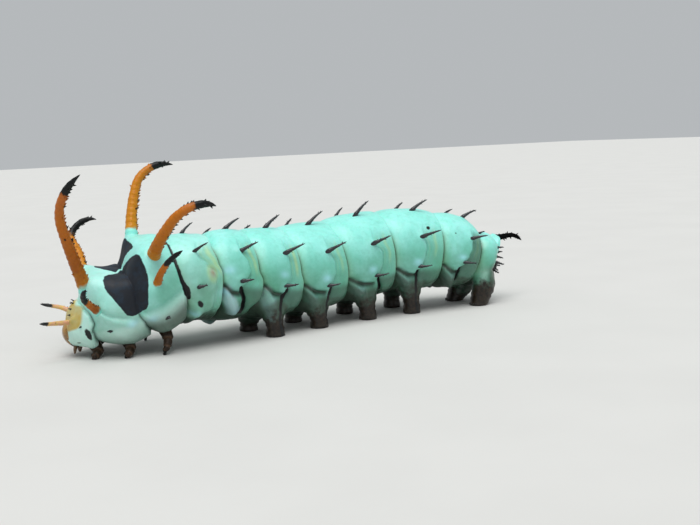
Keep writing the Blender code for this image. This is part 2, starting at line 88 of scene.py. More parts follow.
# How far the skin takes to rise behind a fold and to drop before it
FOLD_RISE = 1.6
FOLD_DROP = 0.42
# Folds that bend: fold, angles from the back, shift towards the tail at each angle, reach along the body
FOLD_SHIFTS = [
    (T2, (20, 50, 74, 87, 103, 128), (0.0, 0.75, 1.25, 0.95, -0.65, -1.8), 4.6),
    (T3, (70, 99, 114, 138), (0.0, -1.2, -0.4, 0.5), 3.6),
    (A1, (80, 115), (0.7, 1.6), 5.0),
    (A2, (33, 65, 85, 98, 130), (1.6, 0.65, 1.0, 1.9, 1.7), 4.0),
    (A3, (95, 108, 125, 150), (0.0, 1.0, 1.0, -0.8), 4.0),
    (A4, (95, 110), (0.0, 0.65), 4.0),
]
# How much lower the ends of a segment are than its middle
ROUNDNESS = 0.35

# How far the belly is flattened
THORAX_BELLY = 2.2
ABDOMEN_BELLY = 0.9
# How far the first segment narrows to the head, and its back comes down
COLLAR_DEPTH = 3.4
COLLAR_DROP = 2.0
# How far the last segments draw in, and the rounded tip past them
TAIL_DEPTH = 4.5
TAIL_TIP = 1.0
# The upper corner at the rear of A8, the flat back before it and the drawn-in end behind it
REAR_CORNER = 4.3
REAR_FLAT = 1.97
REAR_DRAW = 3.68
# Swelling under the tail horn: where the horn takes its place, and on the skin
HORN_SWELLING = 2.2
SKIN_SWELLING = 0.8
# The valley across the back at the dark patches, and the rise behind it
SADDLE_DEPTH = 4.4
SADDLE_REAR = 0.9

# The crease behind the spines of A1 to A7: its u on each segment at these angles
CREASE_ANGLES = (45, 71, 86, 97, 108, 116, 135, 150)
CREASES = np.array([
    (0.66, 0.60, 0.70, 0.72, 0.73, 0.73, 0.71, 0.70),
    (0.60, 0.56, 0.69, 0.72, 0.63, 0.49, 0.60, 0.66),
    (0.66, 0.66, 0.67, 0.67, 0.66, 0.58, 0.47, 0.46),
    (0.64, 0.62, 0.69, 0.68, 0.62, 0.57, 0.55, 0.52),
    (0.64, 0.60, 0.70, 0.68, 0.62, 0.57, 0.63, 0.69),
    (0.62, 0.58, 0.62, 0.58, 0.52, 0.44, 0.46, 0.48),
    (0.72, 0.70, 0.70, 0.64, 0.54, 0.44, 0.44, 0.46),
])
# How far the skin steps down at this crease; height and places of the ribs between it and the next fold
CREASE_STEP = 0.5
RIB_HEIGHT = 0.13
RIBS = (0.30, 0.58, 0.84)

# Lobe low on the front of a segment and the crease over it: places (u, angle) along each
LOBE_LINE = [(0.10, 123.0), (0.40, 148.0)]
OVER_LINE = [(0.03, 114.0), (0.27, 122.5), (0.46, 124.5)]
# The same crease on the second and third segments: shares of the segment, angles there
THORAX_CREASES = {T2: ((0.24, 0.34, 0.45, 0.60, 0.72), (72, 80, 88, 94, 97)),
                  T3: ((0.09, 0.20, 0.39, 0.62, 0.84), (94, 99, 100, 99, 99))}

# Spines in rows on segments A1 to A7: sides, then u, angle, length and radius on each segment,
# then the leans out and to the tail
SPINE_ROWS = [
    ((-1,), [(0.51, 24, 3.4, 0.38), (0.41, 22, 5.0, 0.48), (0.47, 24, 4.6, 0.48), (0.49, 25, 4.3, 0.48),
             (0.51, 25, 4.2, 0.48), (0.53, 25, 4.1, 0.48), (0.50, 22, 5.0, 0.48)], 24.0, 52.0),
    ((1,), [(0.58, 22, 3.7, 0.38), (0.60, 22, 4.7, 0.48), (0.57, 22, 5.0, 0.50), (0.56, 22, 5.0, 0.50),
            (0.55, 22, 5.0, 0.50), (0.57, 22, 4.9, 0.50), (0.65, 22, 4.6, 0.48)], 22.0, 52.0),
    ((1, -1), [(0.55, 66, 3.6, 0.38), (0.56, 71, 4.8, 0.48), (0.59, 72, 5.0, 0.50), (0.57, 72, 5.0, 0.50),
               (0.55, 72, 4.8, 0.50), (0.54, 71, 4.8, 0.48), (0.67, 70, 4.1, 0.46)], 60.0, 50.0),
    ((1, -1), [(0.44, 106, 2.0, 0.42), (0.48, 108, 2.7, 0.46), (0.52, 111, 3.0, 0.42),
               (0.50, 113, 3.0, 0.40), (0.50, 111, 3.1, 0.40), (0.46, 109, 3.2, 0.40),
               (0.50, 106, 3.3, 0.40)], 86.0, 55.0),
]
# Barbs on each spine, unless it is short
BARBS = 7
BARBED_FROM = 1.7
# Small spines elsewhere: segment, u, angles, length, lean towards the tail, radius
SMALL_SPINES = [
    (T1, 0.86, (12.0,), 0.9, -25.0, 0.24),
    (T1, 0.72, (24.5, 81.0), 0.8, -35.0, 0.24),
    (T1, 0.60, (38.0,), 0.8, -35.0, 0.24),
    (T2, 0.26, (106.5,), 0.8, 40.0, 0.4),
    (T3, 0.51, (112.0,), 0.8, 40.0, 0.4),
    (A8, 0.22, (24.0,), 2.2, 60.0, 0.42),
    (A8, 0.8, (60.0, 84.0), 1.8, 55.0, 0.4),
    (A9, 0.5, (45.0,), 1.4, 55.0, 0.42),
    (A9, 0.5, (86.0, 118.0), 2.4, 50.0, 0.52),
    (A10, 0.45, (20.0,), 1.3, 60.0, 0.40),
    (A10, 0.45, (66.0, 104.0), 2.0, 60.0, 0.48),
]

# Horns: name, segment, u, angle, length, base radius, leans out and back at HORN_KEYS, and the share of
# the length where black starts
HORNS = [
    ("horn_t1_left", T1, 0.56, 57.0, 7.1, 0.72, (36, 41, 42), (-42, -38, -27), 0.76),
    ("horn_t1_right", T1, 0.56, -32.0, 8.2, 0.68, (40, 39, 38), (-20, -42, -40), 0.62),
    ("horn_t2_left_long", T2, 0.3, 37.0, 29.3, 1.56, (14, 19, 39), (9, 16, 79), 0.81),
    ("horn_t2_right_long", T2, 0.26, -28.5, 23.2, 1.3, (52, 57, 49), (21, -5, 148), 0.64),
    ("horn_t2_left_short", T2, 0.3, 77.0, 10.8, 1.0, (43, 45, 59), (-11, -3, 46), 0.52),
    ("horn_t2_right_short", T2, 0.3, -77.0, 10.8, 1.0, (43, 45, 59), (-11, -3, 46), 0.52),
    ("horn_t3_left_long", T3, 0.63, 44.5, 24.6, 1.6, (56, 41, 38), (2, 36, 137), 0.76),
    ("horn_t3_right_long", T3, 0.51, -31.0, 26.0, 1.6, (34, 22, 26), (16, 31, 120), 0.8),
    ("horn_t3_left_short", T3, 0.48, 78.0, 12.6, 1.0, (38, 46, 58), (8, 28, 53), 0.6),
    ("horn_t3_right_short", T3, 0.48, -78.0, 12.6, 1.0, (50, 60, 70), (8, 28, 53), 0.6),
    ("horn_tail", A8, 0.98, 0.0, 10.5, 1.0, (0, 0, 0), (59, 55, 110), 0.0),
]
HORN_KEYS = (0.0, 0.55, 1.0)
# Height of the skin's cones at the roots of horns, where not 0.6
CONE_HEIGHTS = {"horn_t3_left_long": 1.5, "horn_t3_right_long": 1.5, "horn_t2_right_long": 2.0}
# Shares of yellow and of rust where not 0.1, and how far up the skin's green runs where not 1.6
GOLDEN = {"horn_t3_right_long": 0.85, "horn_t2_right_long": 0.8, "horn_t3_left_long": 0.25}
RUSTY = {"horn_t2_left_long": 0.55, "horn_t2_left_short": 0.8, "horn_t3_left_short": 0.3}
GREENED = {"horn_t3_right_long": 4.0, "horn_t3_left_long": 1.9, "horn_t2_right_long": 2.4}
# Taper of a horn and of a spine: shares of the length, and of the base radius there
HORN_TAPER = ((0.0, 0.2, 0.35, 0.6, 0.8, 1.0), (0.97, 0.85, 0.78, 0.67, 0.56, 0.48))
SPINE_TAPER = ((-0.22, 0.0, 0.07, 0.16, 0.32, 0.55, 0.8, 0.94, 1.0),
               (0.8, 1.18, 1.22, 1.02, 0.78, 0.62, 0.42, 0.22, 0.03))
# Share of a horn's length where its tip starts, number of thorns by kind, and depth of its root in the skin
HORN_TIP = 0.84
HORN_THORNS = {"thin": 5, "long": 52, "short": 28}
HORN_SINK = 1.2

# Legs: u on each segment, angle, radii from root to ankle, places of the joints, thorns on each
LEG_AT = (0.56, 0.42, 0.42)
LEG_ANGLE = 140.0
LEG_RADII = [1.5, 1.4, 1.25, 1.0, 0.85, 0.62, 0.5]
LEG_JOINTS = (0.42, 0.66, 0.86)
LEG_THORNS = 12
# Hooks round each proleg's sole
HOOKS = 26
# Millimetres of one degree round the body at the prolegs
LOW_DEGREE = np.radians(MEAN_RADIUS - 0.6)
# Prolegs: node, segment, u, angle, radius of the sole, waist and hip, reach on the skin, lean to the head
PROLEGS = [(f"proleg_{k - 2}", k, 0.44, 150.0, 2.2, 2.1, 2.9, 4.7, 0.0) for k in range(A3, A7)]
PROLEGS.append(("anal_proleg", A8, 0.72, 140.0, 2.4, 3.0, 3.7, 4.9, 3.0))
# Shares of a proleg's height between which its painted shade in dusky olive ends
PROLEG_PAINTED_SHADE = (0.85, 1.12)
ANAL_PAINTED_SHADE = (0.62, 0.86)

# Head: its middle behind the front of the skin and below the axis, half sizes forward, sideways and up,
# and the angle that the face leans by
HEAD_AT = 1.8
HEAD_DROP = 0.5
HEAD_SIZE = (3.4, 3.7, 3.6)
HEAD_TILT = 6.0
# Eyes on each cheek: number, middle of their ring forward and up, radius of the ring and of a lens
EYES = 6
EYE_CENTRE = (1.4, -1.1)
EYE_RING = 0.85
EYE_RADIUS = 0.34

# Markings: places are (segment, u, angle). Outlines of the dark patches of the left and of the right side
PATCHES = [
    [(T3, 0.37, 38), (T3, 0.385, 50), (T3, 0.38, 59), (T3, 0.34, 67.5), (T3, 0.27, 76.5), (T3, 0.20, 85),
     (T3, 0.12, 93), (T2, 0.95, 96.5), (T2, 0.79, 96.5), (T2, 0.70, 93.5), (T2, 0.67, 84.5), (T2, 0.62, 70.5),
     (T2, 0.58, 57), (T2, 0.605, 44), (T2, 0.70, 32), (T2, 0.87, 25), (T2, 0.96, 8), (T3, 0.04, 3),
     (T3, 0.09, 7.5), (T3, 0.18, 15), (T3, 0.27, 24.5)],
    [(T2, 0.65, 1), (T2, 0.71, 9), (T2, 0.80, 15), (T2, 0.87, 19), (T2, 0.94, 5), (T3, 0.03, -12),
     (T3, 0.10, -9), (T3, 0.18, -5.5), (T3, 0.28, 5), (T3, 0.37, 14), (T3, 0.41, 2), (T3, 0.40, -15),
     (T3, 0.38, -39), (T3, 0.36, -51), (T3, 0.37, -62), (T3, 0.31, -72), (T3, 0.18, -89), (T3, 0.03, -98),
     (T2, 0.85, -96), (T2, 0.73, -96), (T2, 0.68, -85), (T2, 0.58, -69), (T2, 0.56, -53), (T2, 0.57, -30),
     (T2, 0.57, -12)],
]
# Tan shield across the first segment, on either side of the middle of the back
SHIELD = [(T1, 0.93, -9), (T1, 0.93, 26.5), (T2, 0.06, 46.5), (T2, 0.02, 58), (T1, 0.84, 74), (T1, 0.64, 80),
          (T1, 0.40, 76), (T1, 0.18, 66), (T1, 0.10, 40), (T1, 0.10, -9)]
# Black band behind the third segment: places along its middle, then half widths there
BAND = [(A1, 0.0, 20), (A1, 0.0, 60), (A1, 0.0, 90), (A1, 0.02, 103), (A1, 0.06, 114)]
BAND_WIDTHS = [0.3, 0.36, 0.5, 1.0, 0.5]
# Black ovals: segment, u, angle, half length along the body, half width round it, tilt in degrees
SPOTS = [
    (T1, 0.76, 99.5, 0.6, 2.2, 8.0),
    (T1, 0.26, 109.5, 0.5, 0.35, 0.0),
    (T2, 0.26, 106.5, 0.6, 0.45, 0.0),
    (T3, 0.51, 112.5, 0.6, 0.45, 0.0),
    (A1, 0.45, 126.0, 0.5, 1.0, -30.0),
    (A6, 0.70, 57.7, 0.5, 0.55, 0.0),
    (A7, 0.27, 64.5, 0.2, 0.2, 0.0),
]
# Painted highlights in pale blue above the lowest spines, on the lobes and low on the front segments, and the
# blush behind the first abdominal segment
PAINTED_HIGHLIGHTS = [(T2, 0.72, 105), (T3, 0.14, 108), (A1, 0.30, 137), (A2, 0.13, 121), (A2, 0.44, 146),
              (A2, 0.24, 95), (A3, 0.28, 141), (A3, 0.49, 98), (A4, 0.46, 104), (A5, 0.44, 103),
              (A6, 0.41, 103), (A7, 0.45, 99)]
BLUSH = (A1, 0.84, 96)
# Pale lobe above the rearmost prolegs
TAIL_LOBE = (A8, 0.37, 122)
# How far the dusky olive reaches up, partly the belly's own colour and partly painted shade on the lower
# sides: segment, angles where it starts and is full, share
OLIVE_AND_PAINTED_SHADE = [
    (T1, 120, 150, 0.5), (T2, 108, 132, 0.7), (T3, 99, 122, 0.9), (A1, 143, 158, 0.9), (A2, 134, 150, 0.9),
    (A3, 124, 148, 0.95), (A4, 121, 142, 1.0), (A5, 119, 140, 1.0), (A6, 116, 138, 1.0), (A7, 114, 136, 1.0),
    (A8, 92, 116, 1.0), (A9, 62, 92, 1.0), (A10, 40, 80, 1.0),
]


# Axis and surface of the body

def smooth(values, step, reach=SMOOTHING):
    """Rounds the corners of a line of values."""
    half = int(round(2 * reach / step))
    x = np.arange(-half, half + 1) * step
    weight = np.exp(-0.5 * (x / reach) ** 2)
    padded = np.pad(values, half, mode="edge")
    return np.convolve(padded, weight / weight.sum(), mode="valid")


def unit(vector):
    """Vectors of length one in the same directions."""
    return vector / np.linalg.norm(vector, axis=-1, keepdims=True)


def make_axis():
    """Samples of the body's axis with its directions and radius."""
    lengths, radii, yaws, pitches, rolls = (np.array(column) for column in list(zip(*SEGMENTS))[1:])
    ends = np.concatenate([[0.0], np.cumsum(lengths)])
    middles = (ends[1:] + ends[:-1]) / 2
    s = np.linspace(0.0, ends[-1], AXIS_SAMPLES)
    step = s[1]
    yaw, pitch, roll = (np.radians(smooth(np.interp(s, middles, v), step)) for v in (yaws, pitches, rolls))
    tangent = np.stack([np.cos(pitch) * np.cos(yaw), np.cos(pitch) * np.sin(yaw), np.sin(pitch)], 1)
    centre = np.concatenate([[[0, 0, 0]], np.cumsum((tangent[1:] + tangent[:-1]) / 2 * step, 0)])
    at_anchor = [np.interp(ends[A3], s, centre[:, i]) for i in range(3)]
    centre = centre - at_anchor + ANCHOR
    up = unit(np.array([0, 0, 1.0]) - tangent * tangent[:, 2:3])
    side = np.cross(tangent, up)
    dorsal = np.cos(roll)[:, None] * up + np.sin(roll)[:, None] * side
    lateral = np.cos(roll)[:, None] * side - np.sin(roll)[:, None] * up
    radius = smooth(np.interp(s, middles, radii), step)
    return {"s": s, "ends": ends, "centre": centre, "tangent": tangent,
            "dorsal": dorsal, "lateral": lateral, "radius": radius}


AXIS = make_axis()
ENDS = AXIS["ends"]


def frame_at(s):
    """Centre, tangent, dorsal and lateral directions at s."""
    return [np.stack([np.interp(s, AXIS["s"], AXIS[key][:, i]) for i in range(3)], -1)
            for key in ("centre", "tangent", "dorsal", "lateral")]


def ease(x, low, high):
    """Rises smoothly from 0 at low to 1 at high."""
    t = np.clip((x - low) / (high - low), 0, 1)
    return t * t * (3 - 2 * t)


def fade(x, low, high):
    """Falls smoothly from 1 at low to 0 at high."""
    return 1 - ease(x, low, high)


def bump(x, centre, width):
    """A bell of height 1."""
    return np.exp(-0.5 * ((x - centre) / width) ** 2)


def soft_steps(x, keys, values):
    """Goes smoothly from one value to the next between keys."""
    line = values[0] + np.zeros(np.shape(x))
    for low, high, first, last in zip(keys[:-1], keys[1:], values[:-1], values[1:]):
        line = line + (last - first) * ease(x, low, high)
    return line


def to_line(x, y, start, end):
    """Distance from the line between two places, and the share of the line that is nearest."""
    way = end[0] - start[0], end[1] - start[1]
    t = ((x - start[0]) * way[0] + (y - start[1]) * way[1]) / (way[0] ** 2 + way[1] ** 2)
    t = np.clip(t, 0, 1)
    return np.hypot(x - start[0] - t * way[0], y - start[1] - t * way[1]), t


def station(segment, u):
    """s of a place u, from 0 to 1, along a segment."""
    return ENDS[segment] + u * (ENDS[segment + 1] - ENDS[segment])


def lattice_noise(x, y, seed, wrap=None):
    """Smooth noise with cells of one unit, from -1 to 1; y repeats after wrap cells."""
    table = np.random.default_rng(seed).uniform(-1, 1, (256, 256))
    left, low = np.floor(x).astype(int), np.floor(y).astype(int)
    across, along = x - left, y - low
    across, along = across * across * (3 - 2 * across), along * along * (3 - 2 * along)
    high = low + 1
    if wrap:
        low, high = low % wrap, high % wrap
    right = (left + 1) % 256
    left, low, high = left % 256, low % 256, high % 256
    near = table[left, low] * (1 - across) + table[right, low] * across
    far = table[left, high] * (1 - across) + table[right, high] * across
    return near * (1 - along) + far * along


def local_place(s, angle):
    """Segment, share u along it and its length, where the folds that bend have moved them."""
    side = np.abs(angle)
    moved = np.array(s, float)
    for fold, angles, shifts, reach in FOLD_SHIFTS:
        shift = soft_steps(side, angles, shifts)
        moved = moved - shift * fade(np.abs(s - ENDS[fold]), 0.0, reach)
    segment = np.clip(np.searchsorted(ENDS, moved, side="right") - 1, 0, len(SEGMENTS) - 1)
    length = ENDS[segment + 1] - ENDS[segment]
    return segment, (moved - ENDS[segment]) / length, length


def fold_profile(segment, u, length, side):
    """A sharp drop before each fold and a rounded rise after it."""
    after, before = u * length, (1 - u) * length
    sides, low = ease(side, 20, 75), ease(side, 105, 135)
    depth = FOLD_BACK + (FOLD_SIDE - FOLD_BACK) * sides[..., None] + FOLD_LOW * low[..., None]
    front = np.take_along_axis(depth, segment[..., None], -1)[..., 0]
    rear = np.take_along_axis(depth, segment[..., None] + 1, -1)[..., 0]
    rise = np.exp(-(after / FOLD_RISE) ** 1.2)
    drop = np.exp(-(before / FOLD_DROP) ** 1.5)
    return -front * rise - rear * drop - ROUNDNESS * np.abs(2 * u - 1) ** 2.5


def crease_line(segment, side):
    """Share of the segment where the crease behind the spines runs, at each angle."""
    shares = CREASES[np.clip(segment, A1, A7) - A1]
    return soft_steps(side, CREASE_ANGLES, [shares[..., k] for k in range(len(CREASE_ANGLES))])


def lobe_places(u, length, side):
    """Distances from the middle of the lobe low on the front of a segment, and from the crease over it."""
    away = []
    for line in (LOBE_LINE, OVER_LINE):
        places = [(share * length, angle * DEGREE) for share, angle in line]
        parts = [to_line(u * length, side * DEGREE, *pair)[0] for pair in zip(places, places[1:])]
        away.append(np.minimum.reduce(parts))
    return away


def abdomen_form(segment, u, length, side):
    """Crease and ribs behind the spines, the lobe with its crease, the groove and the flange."""
    line = crease_line(segment, side)
    past = (u - line) * length
    strength = ease(side, 46, 68) * (1 - 0.35 * ease(side, 108, 118)) * fade(side, 146, 158)
    form = -CREASE_STEP * strength * ease(past, -0.35, 0.2) - 0.25 * strength * bump(past, 0.05, 0.17)
    width = (1 - line) * length
    ribbed = ease(side, 52, 68) * fade(side, 108, 122)
    for share in RIBS:
        form += RIB_HEIGHT * ribbed * bump(past, share * width, 0.2)
    lobed = np.where(segment > A1, 1.0, 0.25)
    groove = lobed * ease(side, 111, 118) * fade(side, 150, 162)
    form -= 1.0 * groove * bump(past, 0.1, 0.42)
    lobe, over = lobe_places(u, length, side)
    form += lobed * 1.3 * fade(lobe, 0.3, 2.3)
    form -= lobed * 0.85 * bump(over, 0.0, 0.45) * fade(past, -0.5, 0.2)
    form += np.where(segment > A1, 0.9, 0.3) * bump(u, 0.80, 0.12) * bump(side, 132, 12)
    form += 0.35 * bump(u, line - 0.10, 0.09) * bump(side, 103, 7)
    return form


def thorax_crease(segment, u, side):
    """The crease over the lower lobe of the second and third segments, and that lobe."""
    form = np.zeros(np.shape(u))
    for where, (shares, angles) in THORAX_CREASES.items():
        past = side - np.interp(u, shares, angles)
        here = np.where(segment == where, ease(u, shares[0] - 0.14, shares[0] + 0.06), 0.0)
        here = here * fade(u, shares[-1] - 0.04, shares[-1] + 0.12)
        form += here * (0.5 * bump(past, 9.0, 5.0) - 0.65 * bump(past, 0.0, 3.2))
    return form - np.where(segment == T3, 0.4 * bump(u, 0.70, 0.07) * bump(side, 84, 12), 0.0)


def first_abdomen_form(u, side):
    """The low lobe on the front of the first abdominal segment."""
    return 1.0 * bump(u, 0.36, 0.18) * bump(side, 135, 9) - 0.8 * bump(u, 0.62, 0.2) * ease(side, 140, 152)


def front_slope(segment, u, side):
    """Lowers the back of the first segment and the front of the second one."""
    return -COLLAR_DROP * fade(side, 25, 110) * fade(segment - 1 + u, 0.0, 0.42)


def saddle(segment, u, side):
    """The valley across the back between the second and third segments, and the raised back behind it."""
    down = np.where(segment == T2, ease(u, 0.3, 1.1), 0.0)
    down = np.where(segment == T3, fade(u, -0.1, 0.5), down)
    raised = np.where(segment == T3, SADDLE_REAR * bump(u, 0.75, 0.25), 0.0)
    return -SADDLE_DEPTH * down * fade(side, 18, 64) + raised * fade(side, 20, 50)


def collar_form(u, side):
    """The first segment narrows towards the head."""
    return -COLLAR_DEPTH * fade(u, -0.25, 0.62) + 0.5 * bump(u, 0.6, 0.2) * bump(side, 120, 16)


def thorax_form(u, side):
    """Swellings at the horns and the lobe above the legs on the second and third segments."""
    horns = bump(u, 0.35, 0.22) * bump(side, 38, 13) + 0.5 * bump(u, 0.4, 0.22) * bump(side, 77, 12)
    return horns + bump(u, 0.45, 0.22) * bump(side, 128, 15)


def eighth_form(u, side, swelling):
    """Full sides, and the swelling that the tail horn stands on."""
    return 0.5 * bump(u, 0.45, 0.3) * bump(side, 75, 40) + swelling * bump(u, 0.85, 0.3) * bump(side, 0, 22)


def tail_form(segment, u):
    """The last two segments close the body to a rounded end."""
    depth = (segment - A9 + u) / 2
    return -TAIL_DEPTH * ease(depth, 0.25, 1.15) * ease(depth, 0, 1.1)


def front_dip(s, side):
    """The back is lower where the second abdominal segment begins."""
    return -0.85 * bump(s - ENDS[A2], -1.0, 3.8) * fade(side, 25, 65)


def rear_form(s, side):
    """The square upper corner at the rear of the eighth segment, over the drawn-in end of the body."""
    past = s - ENDS[A9]
    corner = REAR_CORNER * bump(past, 0.21, 0.6) * fade(side, 15, 68)
    flat = REAR_FLAT * bump(past, -5.15, 1.94) * fade(side, 25, 70)
    return corner - flat - REAR_DRAW * ease(past, -3.59, 2.07)


def away_from(s, angle, segment, u, at):
    """Distances along and round the body from a place."""
    return s - station(segment, u), (angle - at) * DEGREE


def horn_cones(s, angle):
    """Cones of skin at the roots of the horns."""
    form = np.zeros(np.shape(s))
    for name, segment, u, at, _, radius, _, _, _ in HORNS:
        away = np.hypot(*away_from(s, angle, segment, u, at))
        form += CONE_HEIGHTS.get(name, 0.6) * np.exp(-(away / (1.75 * radius)) ** 2)
    return form


def spine_warts(s, angle):
    """Low warts at the roots of the spines."""
    form = np.zeros(np.shape(s))
    for sides, places, *_ in SPINE_ROWS:
        for segment, (u, at, _, _) in enumerate(places, A1):
            for side in sides:
                x, y = away_from(s, angle, segment, u, side * at)
                form += 0.3 * np.exp(-(x * x + y * y) / 1.5)
    return form


def wrinkles(s, angle, u, length):
    """Soft unevenness, fine wrinkles along the folds and cross wrinkles towards the belly."""
    side = np.abs(angle)
    soft = 0.12 * lattice_noise(s / 3.4, (angle + 180) / 20.0, 3, 18)
    fine = lattice_noise(s / 0.55, (angle + 180) / 9.0, 5, 40)
    cross = lattice_noise(s / 1.6, (angle + 180) / 2.5, 9, 144)
    at_fold = np.exp(-np.minimum(u, 1 - u) * length / 1.3)
    low = 0.25 + 0.95 * ease(side, 75, 140) + 0.9 * at_fold * ease(side, 35, 70)
    return soft + 0.04 * low * fine + 0.03 * ease(side, 84, 120) * cross


def skin_radius(s, angle):
    """Distance from the axis to the skin; angle in degrees, signed."""
    s, angle = np.broadcast_arrays(np.asarray(s, float), np.asarray(angle, float))
    side = np.abs(angle)
    segment, u, length = local_place(s, angle)
    belly = np.where(segment < A1, THORAX_BELLY, ABDOMEN_BELLY) * ease(side, 128, 172)
    radius = np.interp(s, AXIS["s"], AXIS["radius"]) + fold_profile(segment, u, length, side) - belly
    edge = np.sqrt(np.clip(1 - np.abs(2 * u - 1) ** 4, 0, 1))
    form = np.where(segment == T1, collar_form(u, side), 0.0)
    form = np.where((segment == T2) | (segment == T3), edge * thorax_form(u, side), form)
    form = form + edge * thorax_crease(segment, u, side)
    inside = (segment >= A1) & (segment <= A7)
    form = np.where(inside, edge * abdomen_form(segment, u, length, side), form)
    form = form + np.where(segment == A1, edge * first_abdomen_form(u, side), 0.0)
    form = np.where(segment == A8, edge * eighth_form(u, side, SKIN_SWELLING), form)
    form = np.where(segment > A8, tail_form(segment, u), form)
    form = form + np.where(segment < T3, front_slope(segment, u, side), 0.0) + saddle(segment, u, side)
    form = form + rear_form(s, side) + front_dip(s, side)
    return radius + form + horn_cones(s, angle) + spine_warts(s, angle) + wrinkles(s, angle, u, length)


def body_point(s, angle, radius):
    """Point at a distance from the axis."""
    centre, _, dorsal, lateral = frame_at(np.asarray(s, float))
    turn = np.radians(np.asarray(angle, float))
    out = np.cos(turn)[..., None] * dorsal + np.sin(turn)[..., None] * lateral
    return centre + radius[..., None] * out


def skin_point(s, angle):
    """Point on the skin."""
    return body_point(s, angle, skin_radius(s, angle))


def plain_radius(s, angle):
    """The plainer surface that horns, legs and prolegs take their places from."""
    s, side = np.asarray(s, float), np.abs(np.asarray(angle, float))
    segment = np.clip(np.searchsorted(ENDS, s, side="right") - 1, 0, len(SEGMENTS) - 1)
    u = (s - ENDS[segment]) / (ENDS[segment + 1] - ENDS[segment])
    depth = np.array([0.8, 0.9, 1.0, 1.4, 1.5, 1.5, 1.5, 1.5, 1.5, 1.5, 1.2, 0.6, 0.5])[segment]
    swell = 1 - np.abs(2 * u - 1) ** 3.2
    belly = np.where(segment < A1, THORAX_BELLY, ABDOMEN_BELLY) * ease(side, 128, 172)
    radius = np.interp(s, AXIS["s"], AXIS["radius"]) - depth * (1 - swell) - belly
    form = np.where(segment == T1, collar_form(u, side), 0.0)
    form = np.where((segment == T2) | (segment == T3), thorax_form(u, side), form)
    form = np.where(segment == A8, eighth_form(u, side, HORN_SWELLING), form)
    form = form + np.where(segment < T3, front_slope(segment, u, side), 0.0)
    return radius + form + saddle(segment, u, side)


def plain_point(s, angle, extra=0.0):
    """Point on the plainer surface, or above it."""
    return body_point(s, angle, plain_radius(s, angle) + extra)


def direction(s, angle, out, back):
    """Unit vector that leans from the back plane by out degrees and towards the tail by back degrees."""
    _, tangent, dorsal, lateral = frame_at(s)
    side = np.sign(angle) if angle else 1.0
    out, back = np.radians(out), np.radians(back)
    return np.cos(back) * (np.cos(out) * dorsal + side * np.sin(out) * lateral) + np.sin(back) * tangent


# Meshes

class Shape:
    """Gathers closed bodies, with marks for each of their points, into one mesh."""

    def __init__(self, *marks):
        self.points, self.faces, self.count = [], [], 0
        self.marks = {mark: [] for mark in marks}

    def add(self, points, faces, **marks):
        self.points.append(np.asarray(points, float))
        self.faces += [tuple(i + self.count for i in face) for face in faces]
        for mark, values in self.marks.items():
            values.append(np.broadcast_to(np.asarray(marks.get(mark, 0.0), float), len(points)))
        self.count += len(points)

    def build(self, name, finish, slot):
        """Makes the piece, smooth, riding on the body."""
        mesh = bpy.data.meshes.new(name)
        mesh.from_pydata((np.concatenate(self.points) * MM).tolist(), [], self.faces)
        mesh.polygons.foreach_set("use_smooth", [True] * len(mesh.polygons))
        for mark, values in self.marks.items():
            layer = mesh.attributes.new(mark, "FLOAT", "POINT")
            layer.data.foreach_set("value", np.concatenate(values).astype(np.float32))
        return place_piece(name, mesh, finish)


def place_piece(name, mesh, finish):
    """Puts a mesh in the scene as a piece that rides on the larva's one body."""
    mesh.materials.append(finish)
    mesh.update()
    piece = bpy.data.objects.new(name, mesh)
    bpy.context.collection.objects.link(piece)
    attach(piece, "root")
    return piece


def square_to(vector, way):
    """Unit vector across a way, as near as can be to the given one."""
    return unit(vector - way * (vector @ way))


def tube_faces(rows, sides):
    """Faces of rings of points, closed by two end points that come after them."""
    faces = []
    for low in range(0, (rows - 1) * sides, sides):
        for i in range(sides):
            j = (i + 1) % sides
            faces.append((low + i, low + j, low + sides + j, low + sides + i))
    for i in range(sides):
        j = (i + 1) % sides
        last = (rows - 1) * sides
        faces.append((rows * sides, j, i))
        faces.append((rows * sides + 1, last + i, last + j))
    return faces


def sweep(path, radii, sides, flatten=1.0):
    """Points and faces of a closed tube round a path; its ends close to points."""
    path, radii = np.asarray(path, float), np.asarray(radii, float)
    ahead = unit(np.gradient(path, axis=0))
    start = np.array((0.0, 1.0, 0.0) if abs(ahead[0][2]) > 0.9 else (0.0, 0.0, 1.0))
    across = np.empty_like(path)
    for i, way in enumerate(ahead):
        across[i] = square_to(across[i - 1] if i else start, way)
    other = np.cross(ahead, across)
    turn = np.arange(sides)[None, :, None] * 2 * np.pi / sides
    ring = np.cos(turn) * across[:, None] + flatten * np.sin(turn) * other[:, None]
    scale = radii[:, None, None] if radii.ndim == 1 else radii[..., None]
    points = (path[:, None] + scale * ring).reshape(-1, 3)
    return np.vstack([points, path[:1], path[-1:]]), tube_faces(len(path), sides)


def curve_through(points, count, closed=False):
    """A smooth curve through a few points, read at count places."""
    points = np.asarray(points, float)
    n = len(points)
    last = n if closed else n - 1
    t = np.linspace(0, last, count, endpoint=not closed)
    k = np.minimum(t.astype(int), last - 1)
    f = (t - k)[:, None]

    def at(i):
        return points[i % n] if closed else points[np.clip(i, 0, n - 1)]

    a, b, c, d = at(k - 1), at(k), at(k + 1), at(k + 2)
    square, cube = 2 * a - 5 * b + 4 * c - d, 3 * b - 3 * c + d - a
    return 0.5 * (2 * b + (c - a) * f + square * f ** 2 + cube * f ** 3)


# Finishes

